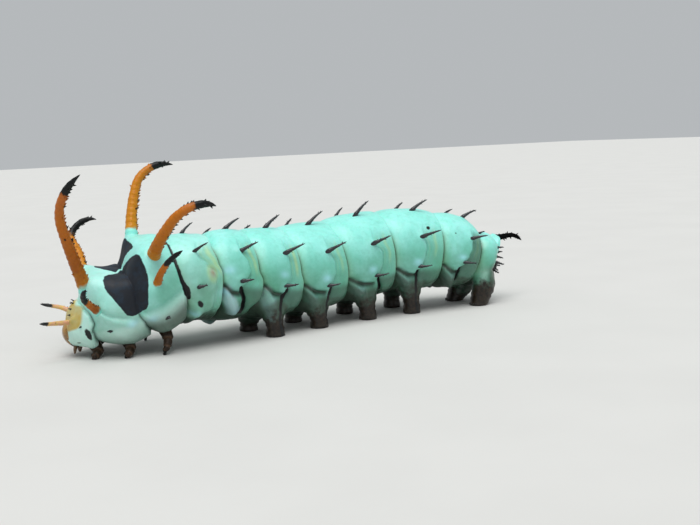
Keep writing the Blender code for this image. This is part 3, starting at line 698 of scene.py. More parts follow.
class Nodes:
    """Builds a material's nodes with short calls."""

    def __init__(self, name, roughness, **sockets):
        self.material = bpy.data.materials.new(name)
        self.material.use_nodes = True
        self.tree = self.material.node_tree
        self.shader = self.tree.nodes["Principled BSDF"]
        self.shader.inputs["Roughness"].default_value = roughness
        for socket, value in sockets.items():
            self.shader.inputs[socket.replace("_", " ")].default_value = value
        self.place = self.add("ShaderNodeTexCoord").outputs["Object"]

    def add(self, kind, **values):
        made = self.tree.nodes.new(kind)
        for key, value in values.items():
            setattr(made, key, value)
        return made

    def feed(self, value, socket):
        """Links an output to a socket, or sets a constant there."""
        if isinstance(value, bpy.types.NodeSocket):
            self.tree.links.new(value, socket)
        elif value is not None:
            socket.default_value = value

    def mark(self, name):
        return self.add("ShaderNodeAttribute", attribute_name=name).outputs["Fac"]

    def frayed(self, name, noise, reach):
        """A mark with its edge moved about by noise."""
        return self.math("ADD", self.mark(name), self.span(noise, 0.3, 0.7, -reach, reach))

    def noise(self, scale, detail=3.0, rough=0.5, stretch=None):
        made = self.add("ShaderNodeTexNoise")
        self.feed(scale, made.inputs["Scale"])
        self.feed(detail, made.inputs["Detail"])
        self.feed(rough, made.inputs["Roughness"])
        where = self.place
        if stretch:
            mapping = self.add("ShaderNodeMapping")
            self.feed(self.place, mapping.inputs["Vector"])
            mapping.inputs["Scale"].default_value = stretch
            where = mapping.outputs["Vector"]
        self.feed(where, made.inputs["Vector"])
        return made.outputs["Fac"]

    def cells(self, scale):
        made = self.add("ShaderNodeTexVoronoi")
        self.feed(scale, made.inputs["Scale"])
        self.feed(self.place, made.inputs["Vector"])
        return made.outputs["Distance"]

    def math(self, operation, a, b=None):
        made = self.add("ShaderNodeMath", operation=operation)
        self.feed(a, made.inputs[0])
        self.feed(b, made.inputs[1])
        return made.outputs[0]

    def span(self, value, low, high, to_low=0.0, to_high=1.0):
        """Maps a range smoothly to another."""
        made = self.add("ShaderNodeMapRange", interpolation_type="SMOOTHSTEP")
        for socket, number in zip(("Value", "From Min", "From Max", "To Min", "To Max"),
                                  (value, low, high, to_low, to_high)):
            self.feed(number, made.inputs[socket])
        return made.outputs["Result"]

    def mix(self, factor, a, b, kind="MIX"):
        made = self.add("ShaderNodeMix", data_type="RGBA", blend_type=kind)
        self.feed(factor, made.inputs[0])
        for value, socket in ((a, made.inputs[6]), (b, made.inputs[7])):
            self.feed(value if isinstance(value, bpy.types.NodeSocket) else (*value, 1.0), socket)
        return made.outputs[2]

    def ramp(self, value, stops):
        made = self.add("ShaderNodeValToRGB")
        self.feed(value, made.inputs["Fac"])
        line = made.color_ramp.elements
        while len(line) < len(stops):
            line.new(1.0)
        for element, (at, colour) in zip(line, stops):
            element.position = at
            element.color = (*colour, 1.0)
        return made.outputs["Color"]

    def bump(self, height, strength, distance, normal=None):
        made = self.add("ShaderNodeBump")
        self.feed(strength, made.inputs["Strength"])
        self.feed(distance * MM, made.inputs["Distance"])
        self.feed(height, made.inputs["Height"])
        self.feed(normal, made.inputs["Normal"])
        return made.outputs["Normal"]

    def done(self, colour=None, roughness=None, normal=None):
        self.feed(colour, self.shader.inputs["Base Color"])
        self.feed(roughness, self.shader.inputs["Roughness"])
        self.feed(normal, self.shader.inputs["Normal"])
        return self.material


# Colours that stay as they are: dark and brown of the feet, worn black of the spines, seams of the head,
# clouds and joints of the legs
FOOT_DARK = (0.008, 0.006, 0.004)
FOOT_BROWN = (0.030, 0.020, 0.012)
SPINE_WORN = (0.007, 0.006, 0.006)
HEAD_SEAM = (0.05, 0.018, 0.008)
LEG_CLOUD = (0.038, 0.021, 0.012)
LEG_PALE = (0.075, 0.042, 0.022)
WHITE = (1.0, 1.0, 1.0)

# Marks of the skin that are painted one over the other, with their strengths, and all the marks
# Of these, blue is painted highlight, pale and rim are partly painted highlight, and the olive is partly
# painted shade; fold paints shade
SKIN_PAINTS = (("pale", 0.75), ("rear", 0.5), ("rim", 0.6), ("lobe", 0.8), ("blue", 0.55), ("blush", 0.85),
               ("shield", 1.0), ("dusk", 0.92))
SKIN_MARKS = [name for name, _ in SKIN_PAINTS] + ["back", "patch", "black", "foot", "fold"]


def skin_finish(colours):
    """Waxy mint skin with its markings, painted highlights and painted shade, which the skin's marks place.
    """
    made = Nodes("mint_skin", 0.36, Subsurface_Weight=0.22, Subsurface_Scale=1.0 * MM, IOR=1.42,
                 Coat_Weight=0.05, Coat_Roughness=0.3)
    made.shader.inputs["Subsurface Radius"].default_value = (0.5, 1.0, 0.8)
    cloud = made.noise(160.0, 3.0)
    mottle = made.noise(620.0, 5.0, 0.62)
    grain = made.noise(1500.0, 4.0, 0.6)
    # Partly painted shade: mint on the back turns to green shade low on the sides, partly the animal's own
    # colour and partly shade under the light from above
    colour = made.mix(made.span(made.mark("back"), 0.25, 0.85), colours.shade, colours.mint)
    colour = made.mix(made.span(cloud, 0.35, 0.7, 0.0, 0.35), colour, colours.bright)
    colour = made.mix(made.span(mottle, 0.42, 0.72, 0.0, 0.22), colour, colours.shade)
    for name, strength in SKIN_PAINTS:
        clouded = made.span(cloud, 0.2, 0.6, 0.7 * strength, strength)
        colour = made.mix(made.math("MULTIPLY", made.mark(name), clouded), colour, getattr(colours, name))
    # Painted shade in fold green at the bottoms of the folds and creases, round the lobes and under the belly
    colour = made.mix(made.math("MULTIPLY", made.mark("fold"), 0.85), colour, colours.fold)
    feet = made.mix(made.span(grain, 0.3, 0.7), FOOT_DARK, FOOT_BROWN)
    colour = made.mix(made.span(made.frayed("foot", mottle, 0.25), 0.25, 0.85), colour, feet)
    colour = made.mix(made.span(grain, 0.35, 0.75, 0.0, 0.12), colour, WHITE, "SOFT_LIGHT")
    wobble = made.span(made.noise(900.0, 2.0), 0.3, 0.7, -0.06, 0.06)
    patch = made.span(made.math("ADD", made.mark("patch"), wobble), -0.06, 0.12)
    black = made.span(made.math("ADD", made.mark("black"), wobble), -0.08, 0.12)
    scuffs = made.noise(420.0, 4.0, 0.62)
    navy = made.mix(made.span(scuffs, 0.45, 0.68), colours.patch, colours.patch_bloom)
    colour = made.mix(patch, colour, navy)
    colour = made.mix(black, colour, colours.black)
    roughness = made.span(cloud, 0.3, 0.7, 0.30, 0.44)
    rough_patch = made.span(scuffs, 0.3, 0.7, 0.55, 0.75)
    roughness = made.mix(patch, roughness, rough_patch)
    creases = made.noise(330.0, 3.0, 0.55, (1.0, 2.2, 0.6))
    height = made.mix(patch, made.mix(0.5, grain, mottle), creases)
    normal = made.bump(height, 0.4, 0.15)
    return made.done(colour, roughness, normal)


def horn_finish(colours):
    """Orange horns, yellow at the root and rust further out, with glossy black tips."""
    made = Nodes("orange_horn", 0.42, Subsurface_Weight=0.08, Subsurface_Scale=0.5 * MM,
                 Specular_IOR_Level=0.25)
    cloud = made.noise(600.0, 3.0)
    stops = [(0.0, colours.horn_root), (0.22, colours.horn), (0.62, colours.horn), (1.0, colours.horn_far)]
    colour = made.ramp(made.frayed("along", cloud, 0.05), stops)
    colour = made.mix(made.mark("gold"), colour, colours.horn_root)
    colour = made.mix(made.mark("rust"), colour, colours.horn_rust)
    colour = made.mix(made.span(made.cells(1500.0), 0.0, 0.45, 0.35, 0.0), colour, colours.horn_rust)
    colour = made.mix(made.span(made.frayed("root", cloud, 0.3), -0.6, 0.6), colour, colours.mint)
    colour = made.mix(made.span(made.frayed("dark", cloud, 0.35), -0.25, 0.25), colour, colours.black)
    normal = made.bump(made.noise(2200.0, 4.0, 0.6), 0.35, 0.10)
    return made.done(colour, made.span(cloud, 0.3, 0.7, 0.34, 0.5), normal)


def pale_horn_finish(colours):
    """The thin front horns: straw and pink with black tips."""
    made = Nodes("pale_horn", 0.36, Subsurface_Weight=0.2, Subsurface_Scale=0.6 * MM)
    cloud = made.noise(900.0, 3.0)
    colour = made.mix(made.span(cloud, 0.35, 0.65), colours.straw, colours.straw_pink)
    colour = made.mix(made.span(made.frayed("dark", cloud, 0.3), -0.25, 0.25), colour, colours.black)
    normal = made.bump(made.noise(2500.0, 3.0), 0.3, 0.08)
    return made.done(colour, made.span(cloud, 0.3, 0.7, 0.3, 0.45), normal)


def spine_finish(colours):
    """Black of the spines, the tail horn and the hooks."""
    made = Nodes("black_spine", 0.7, Specular_IOR_Level=0.0, IOR=1.15)
    cloud = made.noise(1200.0, 4.0, 0.6)
    colour = made.mix(made.span(cloud, 0.4, 0.8), colours.black, SPINE_WORN)
    return made.done(colour, made.span(cloud, 0.3, 0.7, 0.6, 0.8), made.bump(cloud, 0.4, 0.10))


def head_finish(colours):
    """Shining brown head capsule, paler in soft clouds, with dark seams."""
    made = Nodes("brown_head", 0.3, Coat_Weight=0.35, Coat_Roughness=0.12, Subsurface_Weight=0.1,
                 Subsurface_Scale=0.6 * MM)
    cloud = made.noise(420.0, 4.0, 0.6)
    colour = made.mix(made.span(cloud, 0.35, 0.68), colours.head, colours.head_pale)
    colour = made.mix(made.mark("seam"), colour, HEAD_SEAM)
    colour = made.mix(made.mark("eye"), colour, colours.black)
    normal = made.bump(made.noise(2600.0, 3.0), 0.2, 0.08)
    return made.done(colour, made.span(cloud, 0.3, 0.7, 0.2, 0.36), normal)


def leg_finish(colours):
    """Dark brown legs with paler joints."""
    made = Nodes("dark_leg", 0.45, Specular_IOR_Level=0.2)
    cloud = made.noise(800.0, 4.0, 0.6)
    colour = made.mix(made.span(cloud, 0.35, 0.7), colours.leg, LEG_CLOUD)
    colour = made.mix(made.mark("joint"), colour, LEG_PALE)
    colour = made.mix(made.mark("claw"), colour, colours.black)
    return made.done(colour, made.span(cloud, 0.3, 0.7, 0.25, 0.42), made.bump(cloud, 0.35, 0.10))


# Skin

# Rows that turn the skin inwards round the head: step along the axis and share of the front ring's radius
FRONT_LIP = [(1.9, 0.0), (1.9, 0.3), (1.6, 0.6), (0.7, 0.76), (0.0, 0.82), (-0.25, 0.88), (-0.22, 0.95)]


def skin_rows(step):
    """s of each row of the skin, closer together at the folds."""
    rows = []
    for first, last in zip(ENDS[:-1], ENDS[1:]):
        t = np.linspace(0, 1, max(8, int((last - first) / step)), endpoint=False)
        rows.append(first + (last - first) * (t - 0.45 * np.sin(2 * np.pi * t) / (2 * np.pi)))
    return np.append(np.concatenate(rows), ENDS[-1])


def proleg_profile(q, sole, waist, hip, reach):
    """Share of the way up the leg, and radius, at a share q of the way from the sole's middle."""
    keys = [0.0, 0.28, 0.34, 0.42, 0.58, 0.80, 1.0]
    heights = [0.0, 0.0, 0.04, 0.16, 0.48, 0.86, 1.12]
    radii = [0.0, 0.93 * sole, 1.06 * sole, 1.08 * sole, waist, hip, reach]
    fine = np.linspace(0, 1, 201)
    height = smooth(np.interp(fine, keys, heights), fine[1], 0.018)
    height[fine < 0.27] = 0.0
    height = np.maximum(height - 0.004, 0.0)
    radius = smooth(np.interp(fine, keys, radii), fine[1], 0.018)
    radius[0] = 0.0
    return np.interp(q, fine, height), np.interp(q, fine, radius)


def proleg_ends(row, side):
    """The middle of a proleg's sole and its hip."""
    _, segment, at, where, *_, lean = row
    s = station(segment, at)
    root, hip = plain_point(s, side * where, -2.6), plain_point(s, side * where, 0.2)
    bottom = hip + (hip - root) * 0.2 - frame_at(s)[1] * lean
    bottom[2] = 0.0
    return bottom, hip


def grow_prolegs(points, s, angle, foot, dusk):
    """Draws the skin out into prolegs with flat soles; marks the painted shade in dusky olive on the legs,
    and their dark feet.
    """
    for row in PROLEGS:
        _, segment, at, where, sole, waist, hip_radius, reach, _ = row
        s0 = station(segment, at)
        _, tangent, dorsal, lateral = frame_at(s0)
        for side in (1, -1):
            bottom, hip = proleg_ends(row, side)
            turn = np.radians(side * where)
            inward = side * (np.cos(turn) * lateral - np.sin(turn) * dorsal)
            flat_along = unit(np.array([tangent[0], tangent[1], 0.0]))
            flat_inward = np.array([-flat_along[1], flat_along[0], 0.0])
            flat_inward *= np.sign(flat_inward @ inward)
            x, y = s - s0, (np.abs(angle) - where) * LOW_DEGREE
            rho = np.hypot(x, y)
            chosen = (rho < reach) & (np.sign(angle) == side)
            rho, x, y = rho[chosen], x[chosen], y[chosen]
            q = rho / reach
            height, radius = proleg_profile(q, sole, waist, hip_radius, reach)
            cosine, sine = x / np.maximum(rho, 1e-9), y / np.maximum(rho, 1e-9)
            turns = np.arctan2(sine, cosine)
            up = np.clip(height, 0, 1)[:, None]
            along = flat_along * (1 - up) + tangent * up
            across = flat_inward * (1 - up) + inward * up
            folds = 0.13 * np.sin(height * 30.0 + 1.3 * np.sin(turns * 2.0)) * ease(height, 0.15, 0.3)
            spot = bottom + (hip - bottom) * height[:, None]
            spot = spot + (radius + folds)[:, None] * (cosine[:, None] * along + sine[:, None] * across)
            keep = ease(q, 0.62, 1.0)[:, None]
            points[chosen] = spot * (1 - keep) + points[chosen] * keep
            # Dark feet: the brown of the soles, with painted shade carried on up the lower leg
            foot[chosen] = np.maximum(foot[chosen], fade(height, 0.35, 1.05))
            # Painted shade in dusky olive up the proleg, to these shares of its height
            top = ANAL_PAINTED_SHADE if segment == A8 else PROLEG_PAINTED_SHADE
            dusk[chosen] = np.maximum(dusk[chosen], fade(height, *top))


def inside_outline(x, y, outline):
    """Signed distance to a closed outline, positive inside."""
    nearest = np.full(x.shape, 1e9)
    crossings = np.zeros(x.shape, int)
    for start, end in zip(outline, np.roll(outline, -1, axis=0)):
        nearest = np.minimum(nearest, to_line(x, y, start, end)[0])
        spans = (start[1] > y) != (end[1] > y)
        slope = (end[0] - start[0]) / (end[1] - start[1] + 1e-12)
        crossings += spans & (x < start[0] + (y - start[1]) * slope)
    return np.where(crossings % 2 == 1, nearest, -nearest)


def along_band(x, y, middle, widths):
    """Signed distance to the edge of a band with a changing half width, positive inside."""
    best = np.full(x.shape, -9.0)
    for start, end, first, last in zip(middle, middle[1:], widths, widths[1:]):
        away, t = to_line(x, y, start, end)
        best = np.maximum(best, first + t * (last - first) - away)
    return best


def spread(places):
    """Flat places in millimetres from places on the body."""
    return np.array([(station(segment, u), angle * DEGREE) for segment, u, angle in places])


class Net:
    """The skin's points on their segments: distances in millimetres that the marks are made from."""

    def __init__(self, s, angle):
        self.s, self.angle, self.side = s, angle, np.abs(angle)
        self.segment, self.u, length = local_place(s, angle)
        self.after, self.before = self.u * length, (1 - self.u) * length
        line = crease_line(self.segment, self.side)
        self.past, self.rest = (self.u - line) * length, (1 - line) * length
        self.lobe, over = lobe_places(self.u, length, self.side)
        self.abdomen = (self.segment >= A1) & (self.segment <= A7)
        self.behind_first = self.abdomen & (self.segment > A1)
        self.crease_over = self.behind(bump(over, 0.0, 0.5) * fade(self.past, -0.5, 0.2))

    def behind(self, values):
        """The values on the segments A2 to A7, and nothing elsewhere."""
        return np.where(self.behind_first, values, 0.0)

    def away(self, segment, u, at):
        """Distances along and round the body from a place on both sides."""
        return away_from(self.s, self.side, segment, u, at)


def patch_mark(net):
    """Distance to the edge of the dark patches, positive inside."""
    outlines = (curve_through(spread(outline), 120, closed=True) for outline in PATCHES)
    return np.maximum.reduce([inside_outline(net.s, net.angle * DEGREE, outline) for outline in outlines])


def black_mark(net):
    """Distance to the edge of the band, the ovals and the grooves in the creases, positive inside; the black
    of the grooves is partly painted shade.
    """
    middle = curve_through(spread(BAND), 24)
    half = np.interp(np.linspace(0, 1, 24), np.linspace(0, 1, len(BAND_WIDTHS)), BAND_WIDTHS)
    black = along_band(ENDS[net.segment] + net.after, net.side * DEGREE, middle, half)
    for where, share, at, half_along, half_round, tilt in SPOTS:
        dx, dy = net.away(where, share, at)
        c, n = np.cos(np.radians(tilt)), np.sin(np.radians(tilt))
        away = np.hypot((dx * c + dy * n) / half_along, (dy * c - dx * n) / half_round)
        black = np.maximum(black, (1 - away) * min(half_along, half_round))
    # Black along the groove behind each lobe, partly painted shade in it, set a little onto the front of the
    # flange
    thick = np.where(net.segment < A4, 0.54, 0.48)
    end = np.where(net.segment == A2, 19.0, 3.0)
    groove = thick - np.abs(net.past - 0.3 * thick) - 2.0 * fade(net.side, 110, 117)
    groove -= 4.0 * ease(net.side, 138 + end, 146 + end)
    return np.where(net.behind_first, np.maximum(black, groove), black)


def rear_mark(net):
    """The ribbed rear of each segment, and the same green low on the third one as painted shade behind its
    short horn.
    """
    rear = np.where(net.abdomen, ease(net.past, -0.1, 0.4) * ease(net.side, 52, 72), 0.0)
    # On the third segment this green is painted shade
    return np.where(net.segment == T3, 1.2 * bump(net.side, 84, 11) * ease(net.u, 0.3, 0.5), rear)


def rim_mark(net):
    """Yellow-green edges of the folds, and a painted highlight on the ribs between them."""
    sides = ease(net.side, 52, 72)
    ribs = 0.5 * bump(net.past, 0.16 * net.rest, 0.16) + 1.25 * bump(net.past, 0.50 * net.rest, 0.34)
    rims = np.exp(-net.after / 0.8) * 0.6 + np.exp(-net.before / 0.45)
    # Painted highlight on the ribs: stronger on the front segments, fading out down the sides
    bright = np.where(net.segment < A4, 0.85, 0.5) * fade(net.side, 88, 106)
    rims = rims * (0.08 + 0.92 * sides) + bright * ribs * sides * net.abdomen
    return np.where((net.segment >= A1) & (net.segment <= A8), np.clip(rims, 0, 1), 0.0)


def pale_mark(net):
    """The pale first segment, and the pale lower sides of the next two, partly their own colour and partly a
    painted highlight.
    """
    low = np.where(net.segment <= T3, ease(net.side, 92, 112), 0.0)
    back = np.interp(net.segment, (T2, T3, A1, A2), (0.5, 0.15, 0.25, 0.0))
    return np.where(net.segment == T1, 1.0, np.maximum(low, back))


def olive_and_painted_shade_mark(net, lobe):
    """Painted shade in dusky olive: on the belly, partly its own colour, and on the low fronts of the
    segments, the flanges and the creases over the lobes.
    """
    side, segment = net.side, net.segment
    dusk = np.zeros(side.shape)
    for where, start, full, share in OLIVE_AND_PAINTED_SHADE:
        dusk = np.where(segment == where, share * ease(side, start, full), dusk)
    behind = np.where(segment == A8, ease(net.u + (side - 100) / 120, 0.35, 0.75), 1.0)
    dusk = dusk * np.maximum(behind, ease(side, 132, 150))
    under = side - np.interp(net.u, *zip(*OVER_LINE))
    dusk = np.maximum(dusk, np.where((segment > A3) & (segment < A8), 0.9 * ease(under, 0, 9), 0.0))
    flange = net.behind(ease(net.past, 0.1, 0.6) * ease(side, 110, 122))
    dark_rear = np.where(segment == A7, 0.75 * ease(net.past, 0.0, 0.5) * ease(side, 50, 66), 0.0)
    darks = [dusk * (1 - 0.3 * lobe ** 2), 0.75 * flange, dark_rear, net.crease_over]
    return np.clip(np.maximum.reduce(darks), 0, 1)


def painted_fold_shade(net):
    """Painted shade: darker bottoms of the folds and of the creases over the lobes, darker low fronts of the
    segments round the lobes, and a darker belly.
    """
    crease = np.exp(-np.minimum(net.after / 0.28, net.before / 0.22) ** 1.3)
    crease = crease * (0.06 + 0.94 * ease(net.side, 42, 80))
    in_fold = np.where((net.segment > T1) | (net.before < 1), crease, 0.0)
    in_front = net.behind(0.9 * ease(net.side, 126, 140) * fade(net.past, -1.2, -0.2))
    belly = 0.8 * ease(net.side, 148, 166)
    return np.maximum.reduce([in_fold, belly, in_front * ease(net.lobe, 1.5, 2.6), 0.75 * net.crease_over])


def skin_marks(s, angle):
    """Marks that place the colours; black and patch are distances in millimetres, the others shares."""
    net = Net(s, angle)
    marks = {name: np.zeros(s.shape) for name in SKIN_MARKS}
    # Share of the back, which the painted shade down the sides follows
    marks["back"] = 0.5 + 0.5 * np.cos(np.radians(angle))
    marks["patch"] = patch_mark(net)
    shield = curve_through(spread(SHIELD), 60, closed=True)
    marks["shield"] = ease(inside_outline(s, net.side * DEGREE, shield), -0.5, 0.6)
    marks["black"] = black_mark(net)
    marks["rear"] = rear_mark(net)
    marks["lobe"] = net.behind((1 - 0.72 * ease(net.segment, A2, A4)) * fade(net.lobe, 1.3, 2.4))
    # Painted highlights in pale blue
    for place in PAINTED_HIGHLIGHTS:
        dx, dy = net.away(*place)
        marks["blue"] = np.maximum(marks["blue"], np.exp(-(dx / 1.3) ** 2 - (dy / 0.9) ** 2))
    dx, dy = net.away(*BLUSH)
    marks["blush"] = np.exp(-(dx / 0.65) ** 2 - (dy / 1.1) ** 2)
    # Painted highlight in yellow green, a ring round the blush
    marks["rim"] = np.maximum(rim_mark(net), 0.9 * bump(np.hypot(dx / 0.9, dy / 1.6), 1.0, 0.35))
    dx, dy = net.away(*TAIL_LOBE)
    tail_lobe = np.exp(-(dx / 1.4) ** 2 - (dy / 1.9) ** 2)
    marks["pale"] = np.maximum(pale_mark(net), 0.6 * tail_lobe)
    # Painted shade in dusky olive, less on the pale lobe of the tail
    marks["dusk"] = olive_and_painted_shade_mark(net, marks["lobe"]) * (1 - 0.85 * tail_lobe)
    marks["fold"] = painted_fold_shade(net)
    return marks


def net_faces(count, columns):
    """Quads between the rows, triangles that close both ends, and the quads' corners laid out flat."""
    r, c = np.meshgrid(np.arange(count - 1), np.arange(columns), indexing="ij")
    here, beside = r * columns + c, r * columns + (c + 1) % columns
    quads = np.stack([here, beside, beside + columns, here + columns], -1).reshape(-1, 4)
    rim = np.arange(columns)
    after, top, low = (rim + 1) % columns, count * columns, (count - 1) * columns
    fans = np.concatenate([np.stack([np.full(columns, top), after, rim], -1),
                           np.stack([np.full(columns, top + 1), low + rim, low + after], -1)])
    right = np.stack([c, c + 1, c + 1, c], -1).reshape(-1, 4) / columns
    down = np.stack([r, r, r + 1, r + 1], -1).reshape(-1, 4) / (count - 1)
    return quads, fans, np.stack([down, right], -1)


def build_skin(step, columns):
    """The whole skin as one closed net of rows and columns."""
    rows = skin_rows(step)
    turns = -180 + np.arange(columns) * 360.0 / columns
    s, angle = np.meshgrid(rows, turns, indexing="ij")
    points = skin_point(s, angle)
    marks = skin_marks(s, angle)
    grow_prolegs(points, s, angle, marks["foot"], marks["dusk"])
    (centre, end_centre), (tangent, end_tangent), _, _ = frame_at(rows[[0, -1]])
    ring, end_ring = points[0] - centre, points[-1] - end_centre
    front = [centre + tangent * along + ring * share for along, share in FRONT_LIP[1:]]
    rear = [end_centre + end_tangent * TAIL_TIP * np.sin(t) + end_ring * np.cos(t)
            for t in np.radians(np.arange(10, 90, 10))]
    body = np.concatenate([np.array(front), points, np.array(rear)])
    for name, values in marks.items():
        head = np.repeat(values[:1], len(front), axis=0)
        tail = np.repeat(values[-1:], len(rear), axis=0)
        values = np.concatenate([head, values, tail]).ravel()
        marks[name] = np.append(values, values[[0, -1]])
    caps = np.array([centre + tangent * FRONT_LIP[0][0], end_centre + end_tangent * TAIL_TIP])
    return np.vstack([body.reshape(-1, 3), caps]), marks, *net_faces(len(body), columns)


def skin_mesh(places, marks, quads, fans, flat):
    """The skin's mesh with its marks and its flat layout."""
    mesh = bpy.data.meshes.new("skin")
    mesh.vertices.add(len(places))
    mesh.vertices.foreach_set("co", (places * MM).ravel())
    corners = np.concatenate([quads.ravel(), fans.ravel()])
    sizes = np.concatenate([np.full(len(quads), 4), np.full(len(fans), 3)])
    mesh.loops.add(len(corners))
    mesh.loops.foreach_set("vertex_index", corners)
    mesh.polygons.add(len(sizes))
    mesh.polygons.foreach_set("loop_start", np.concatenate([[0], np.cumsum(sizes)[:-1]]))
    mesh.polygons.foreach_set("use_smooth", np.ones(len(sizes), bool))
    for name in SKIN_MARKS:
        layer = mesh.attributes.new(name, "FLOAT", "POINT")
        layer.data.foreach_set("value", marks[name].astype(np.float32))
    net = mesh.uv_layers.new(name="OFBake")
    ends = np.zeros((len(fans), 3, 2))
    half = len(fans) // 2
    for row, where in ((slice(0, half), 0.0), (slice(half, None), 1.0)):
        ends[row, :, 0] = where
        ends[row, :, 1] = (np.arange(half)[:, None] + np.array([0.5, 0.9, 0.1])) / half
    net.data.foreach_set("uv", np.concatenate([flat.ravel(), ends.ravel()]).astype(np.float32))
    mesh.update(calc_edges=True)
    mesh.validate()
    return mesh


# Horns and spines

def horn_path(row, count):
    """Points along the middle of a horn, from its root under the skin."""
    _, segment, u, angle, length, _, outs, backs, _ = row
    s = station(segment, u)
    points = [plain_point(s, angle, -HORN_SINK)]
    length = length + HORN_SINK
    for i in range(count):
        t = (i + 0.5) / count
        way = direction(s, angle, np.interp(t, HORN_KEYS, outs), np.interp(t, HORN_KEYS, backs))
        points.append(points[-1] + way * length / count)
    return np.array(points)


def thorn(shape, start, way, length, radius, draw, sides=6, **marks):
    """A small pointed thorn, slightly bent."""
    bend = draw.normal(0, 0.12, 3) * length
    t = np.linspace(0, 1, 5)[:, None]
    path = start - way * 0.25 * length * (1 - t) + way * length * t + bend * t * t * 0.5
    radii = radius * np.array([1.0, 1.0, 0.7, 0.4, 0.04])
    shape.add(*sweep(path, radii, sides), **marks)


def make_horn(row, draw):
    """One horn with its ringed shaft, tapered tip and thorns."""
    name, segment, u, angle, length, base, _, _, dark_from = row
    kind = "thin" if "_t1_" in name else "long" if "long" in name else "short"
    tail = name == "horn_tail"
    count, sides = (110, 32) if kind == "long" else (70, 24)
    path = horn_path(row, count)
    share = np.linspace(0, 1, count + 1)
    whole = length + HORN_SINK
    tip = 1 - 0.9 * ((share - HORN_TIP) / (1 - HORN_TIP)).clip(0, 1) ** 1.7
    tip[-1] = 0.03
    rings = 1 + 0.03 * np.sin(share * whole * 4.4) + 0.02 * np.sin(share * whole * 9.7 + 1.0)
    turn = np.arange(sides)[None, :] / sides
    seed = segment * 7 + int(angle) % 5
    lumps = lattice_noise(share[:, None] * whole / 0.8, turn * 12.0, seed, 12)
    rough = 0.11 if tail else 0.045
    flare = 1 + (0.0 if kind == "thin" else 0.16) * np.exp(-((share * whole) / 2.6) ** 2)
    radii = (base * np.interp(share, *HORN_TAPER) * tip * rings * flare)[:, None] * (1 + rough * lumps)
    shape = Shape("along", "dark", "root", "rust", "gold")
    points, faces = sweep(path, radii, sides)
    gold = GOLDEN.get(name, 0.1)
    along = np.append(np.repeat(share, sides), [0.0, 1.0])
    rust = RUSTY.get(name, 0.1) * np.exp(-((along - 0.2) / 0.22) ** 2)
    green = GREENED.get(name, 1.6) - along * whole
    shape.add(points, faces, along=along, dark=(along - dark_from) * whole * 0.6, root=green, rust=rust,
              gold=gold * (1 - 0.75 * along))
    ahead = unit(np.gradient(path, axis=0))
    back = frame_at(station(segment, u))[1]
    amount = HORN_THORNS[kind]
    for k in range(amount):
        i = int(count * (0.10 + 0.86 * (k + draw.random()) / amount))
        spin = draw.normal(size=3) + (0.8 if share[i] > dark_from else 2.6) * back
        spin = square_to(spin, ahead[i])
        way = unit(spin * 0.8 + ahead[i] * 0.6)
        size = base * (0.26 + 0.24 * draw.random()) * (1.8 if tail else 1.0)
        black = (share[i] - dark_from) * whole * 0.6 + (9.0 if draw.random() < 0.5 else 0.0)
        root = path[i] + spin * radii[i].mean() * 0.9
        thorn(shape, root, way, size, 0.16 * base * (1.4 if tail else 1.0), draw, 6, along=share[i],
              dark=black, root=-9.0, rust=0.6, gold=gold * (1 - 0.75 * share[i]))
    return shape


def make_spine(shape, s, angle, length, out, lean, radius, draw):
    """A stout spine with a swollen root and a fine tip, leaning towards the tail, with a few barbs."""
    way = direction(s, angle, out + draw.uniform(-4, 4), lean + draw.uniform(-5, 5))
    normal = direction(s, angle, abs(angle), 0.0)
    tangent = frame_at(s)[1]
    root = skin_point(np.array(s), np.array(angle))
    length = length * draw.uniform(0.94, 1.05)
    along = np.linspace(SPINE_TAPER[0][0], 1, 26)[:, None]
    free = along.clip(0, 1)
    arch = normal * np.sin(np.pi * free) * length * 0.06 + tangent * free ** 2 * length * 0.05
    path = root + way * along * length + arch
    lumps = lattice_noise(along * length / 0.45, np.arange(14)[None, :] / 2.0, int(draw.integers(99)), 7)
    radii = radius * np.interp(along, *SPINE_TAPER) * (1 + 0.10 * lumps)
    points, faces = sweep(path, radii, 14)
    shape.add(points, faces)
    ahead = unit(np.gradient(path, axis=0))
    for k in range(BARBS if length > BARBED_FROM else 0):
        i = int(6 + 17 * (k + draw.random()) / BARBS)
        spin = square_to(draw.normal(size=3), ahead[i])
        barb = unit(spin * 0.75 + ahead[i] * 0.7)
        start = path[i] + spin * radii[i].mean() * 0.7
        thorn(shape, start, barb, radius * draw.uniform(0.7, 1.2), radius * 0.27, draw, 5)


# Head and legs

def head_frame():
    """Middle of the head and its directions forward, up and left."""
    centre, tangent, dorsal, lateral = frame_at(0.0)
    tilt = np.radians(HEAD_TILT)
    face = -tangent * np.cos(tilt) - dorsal * np.sin(tilt)
    crown = dorsal * np.cos(tilt) - tangent * np.sin(tilt)
    return centre + tangent * HEAD_AT - dorsal * HEAD_DROP, face, crown, lateral


def head_point(forward, left, up):
    """Point at these distances from the middle of the head."""
    middle, face, crown, lateral = head_frame()
    forward, left, up = (np.asarray(v, float)[..., None] for v in (forward, left, up))
    return middle + forward * face + left * lateral + up * crown


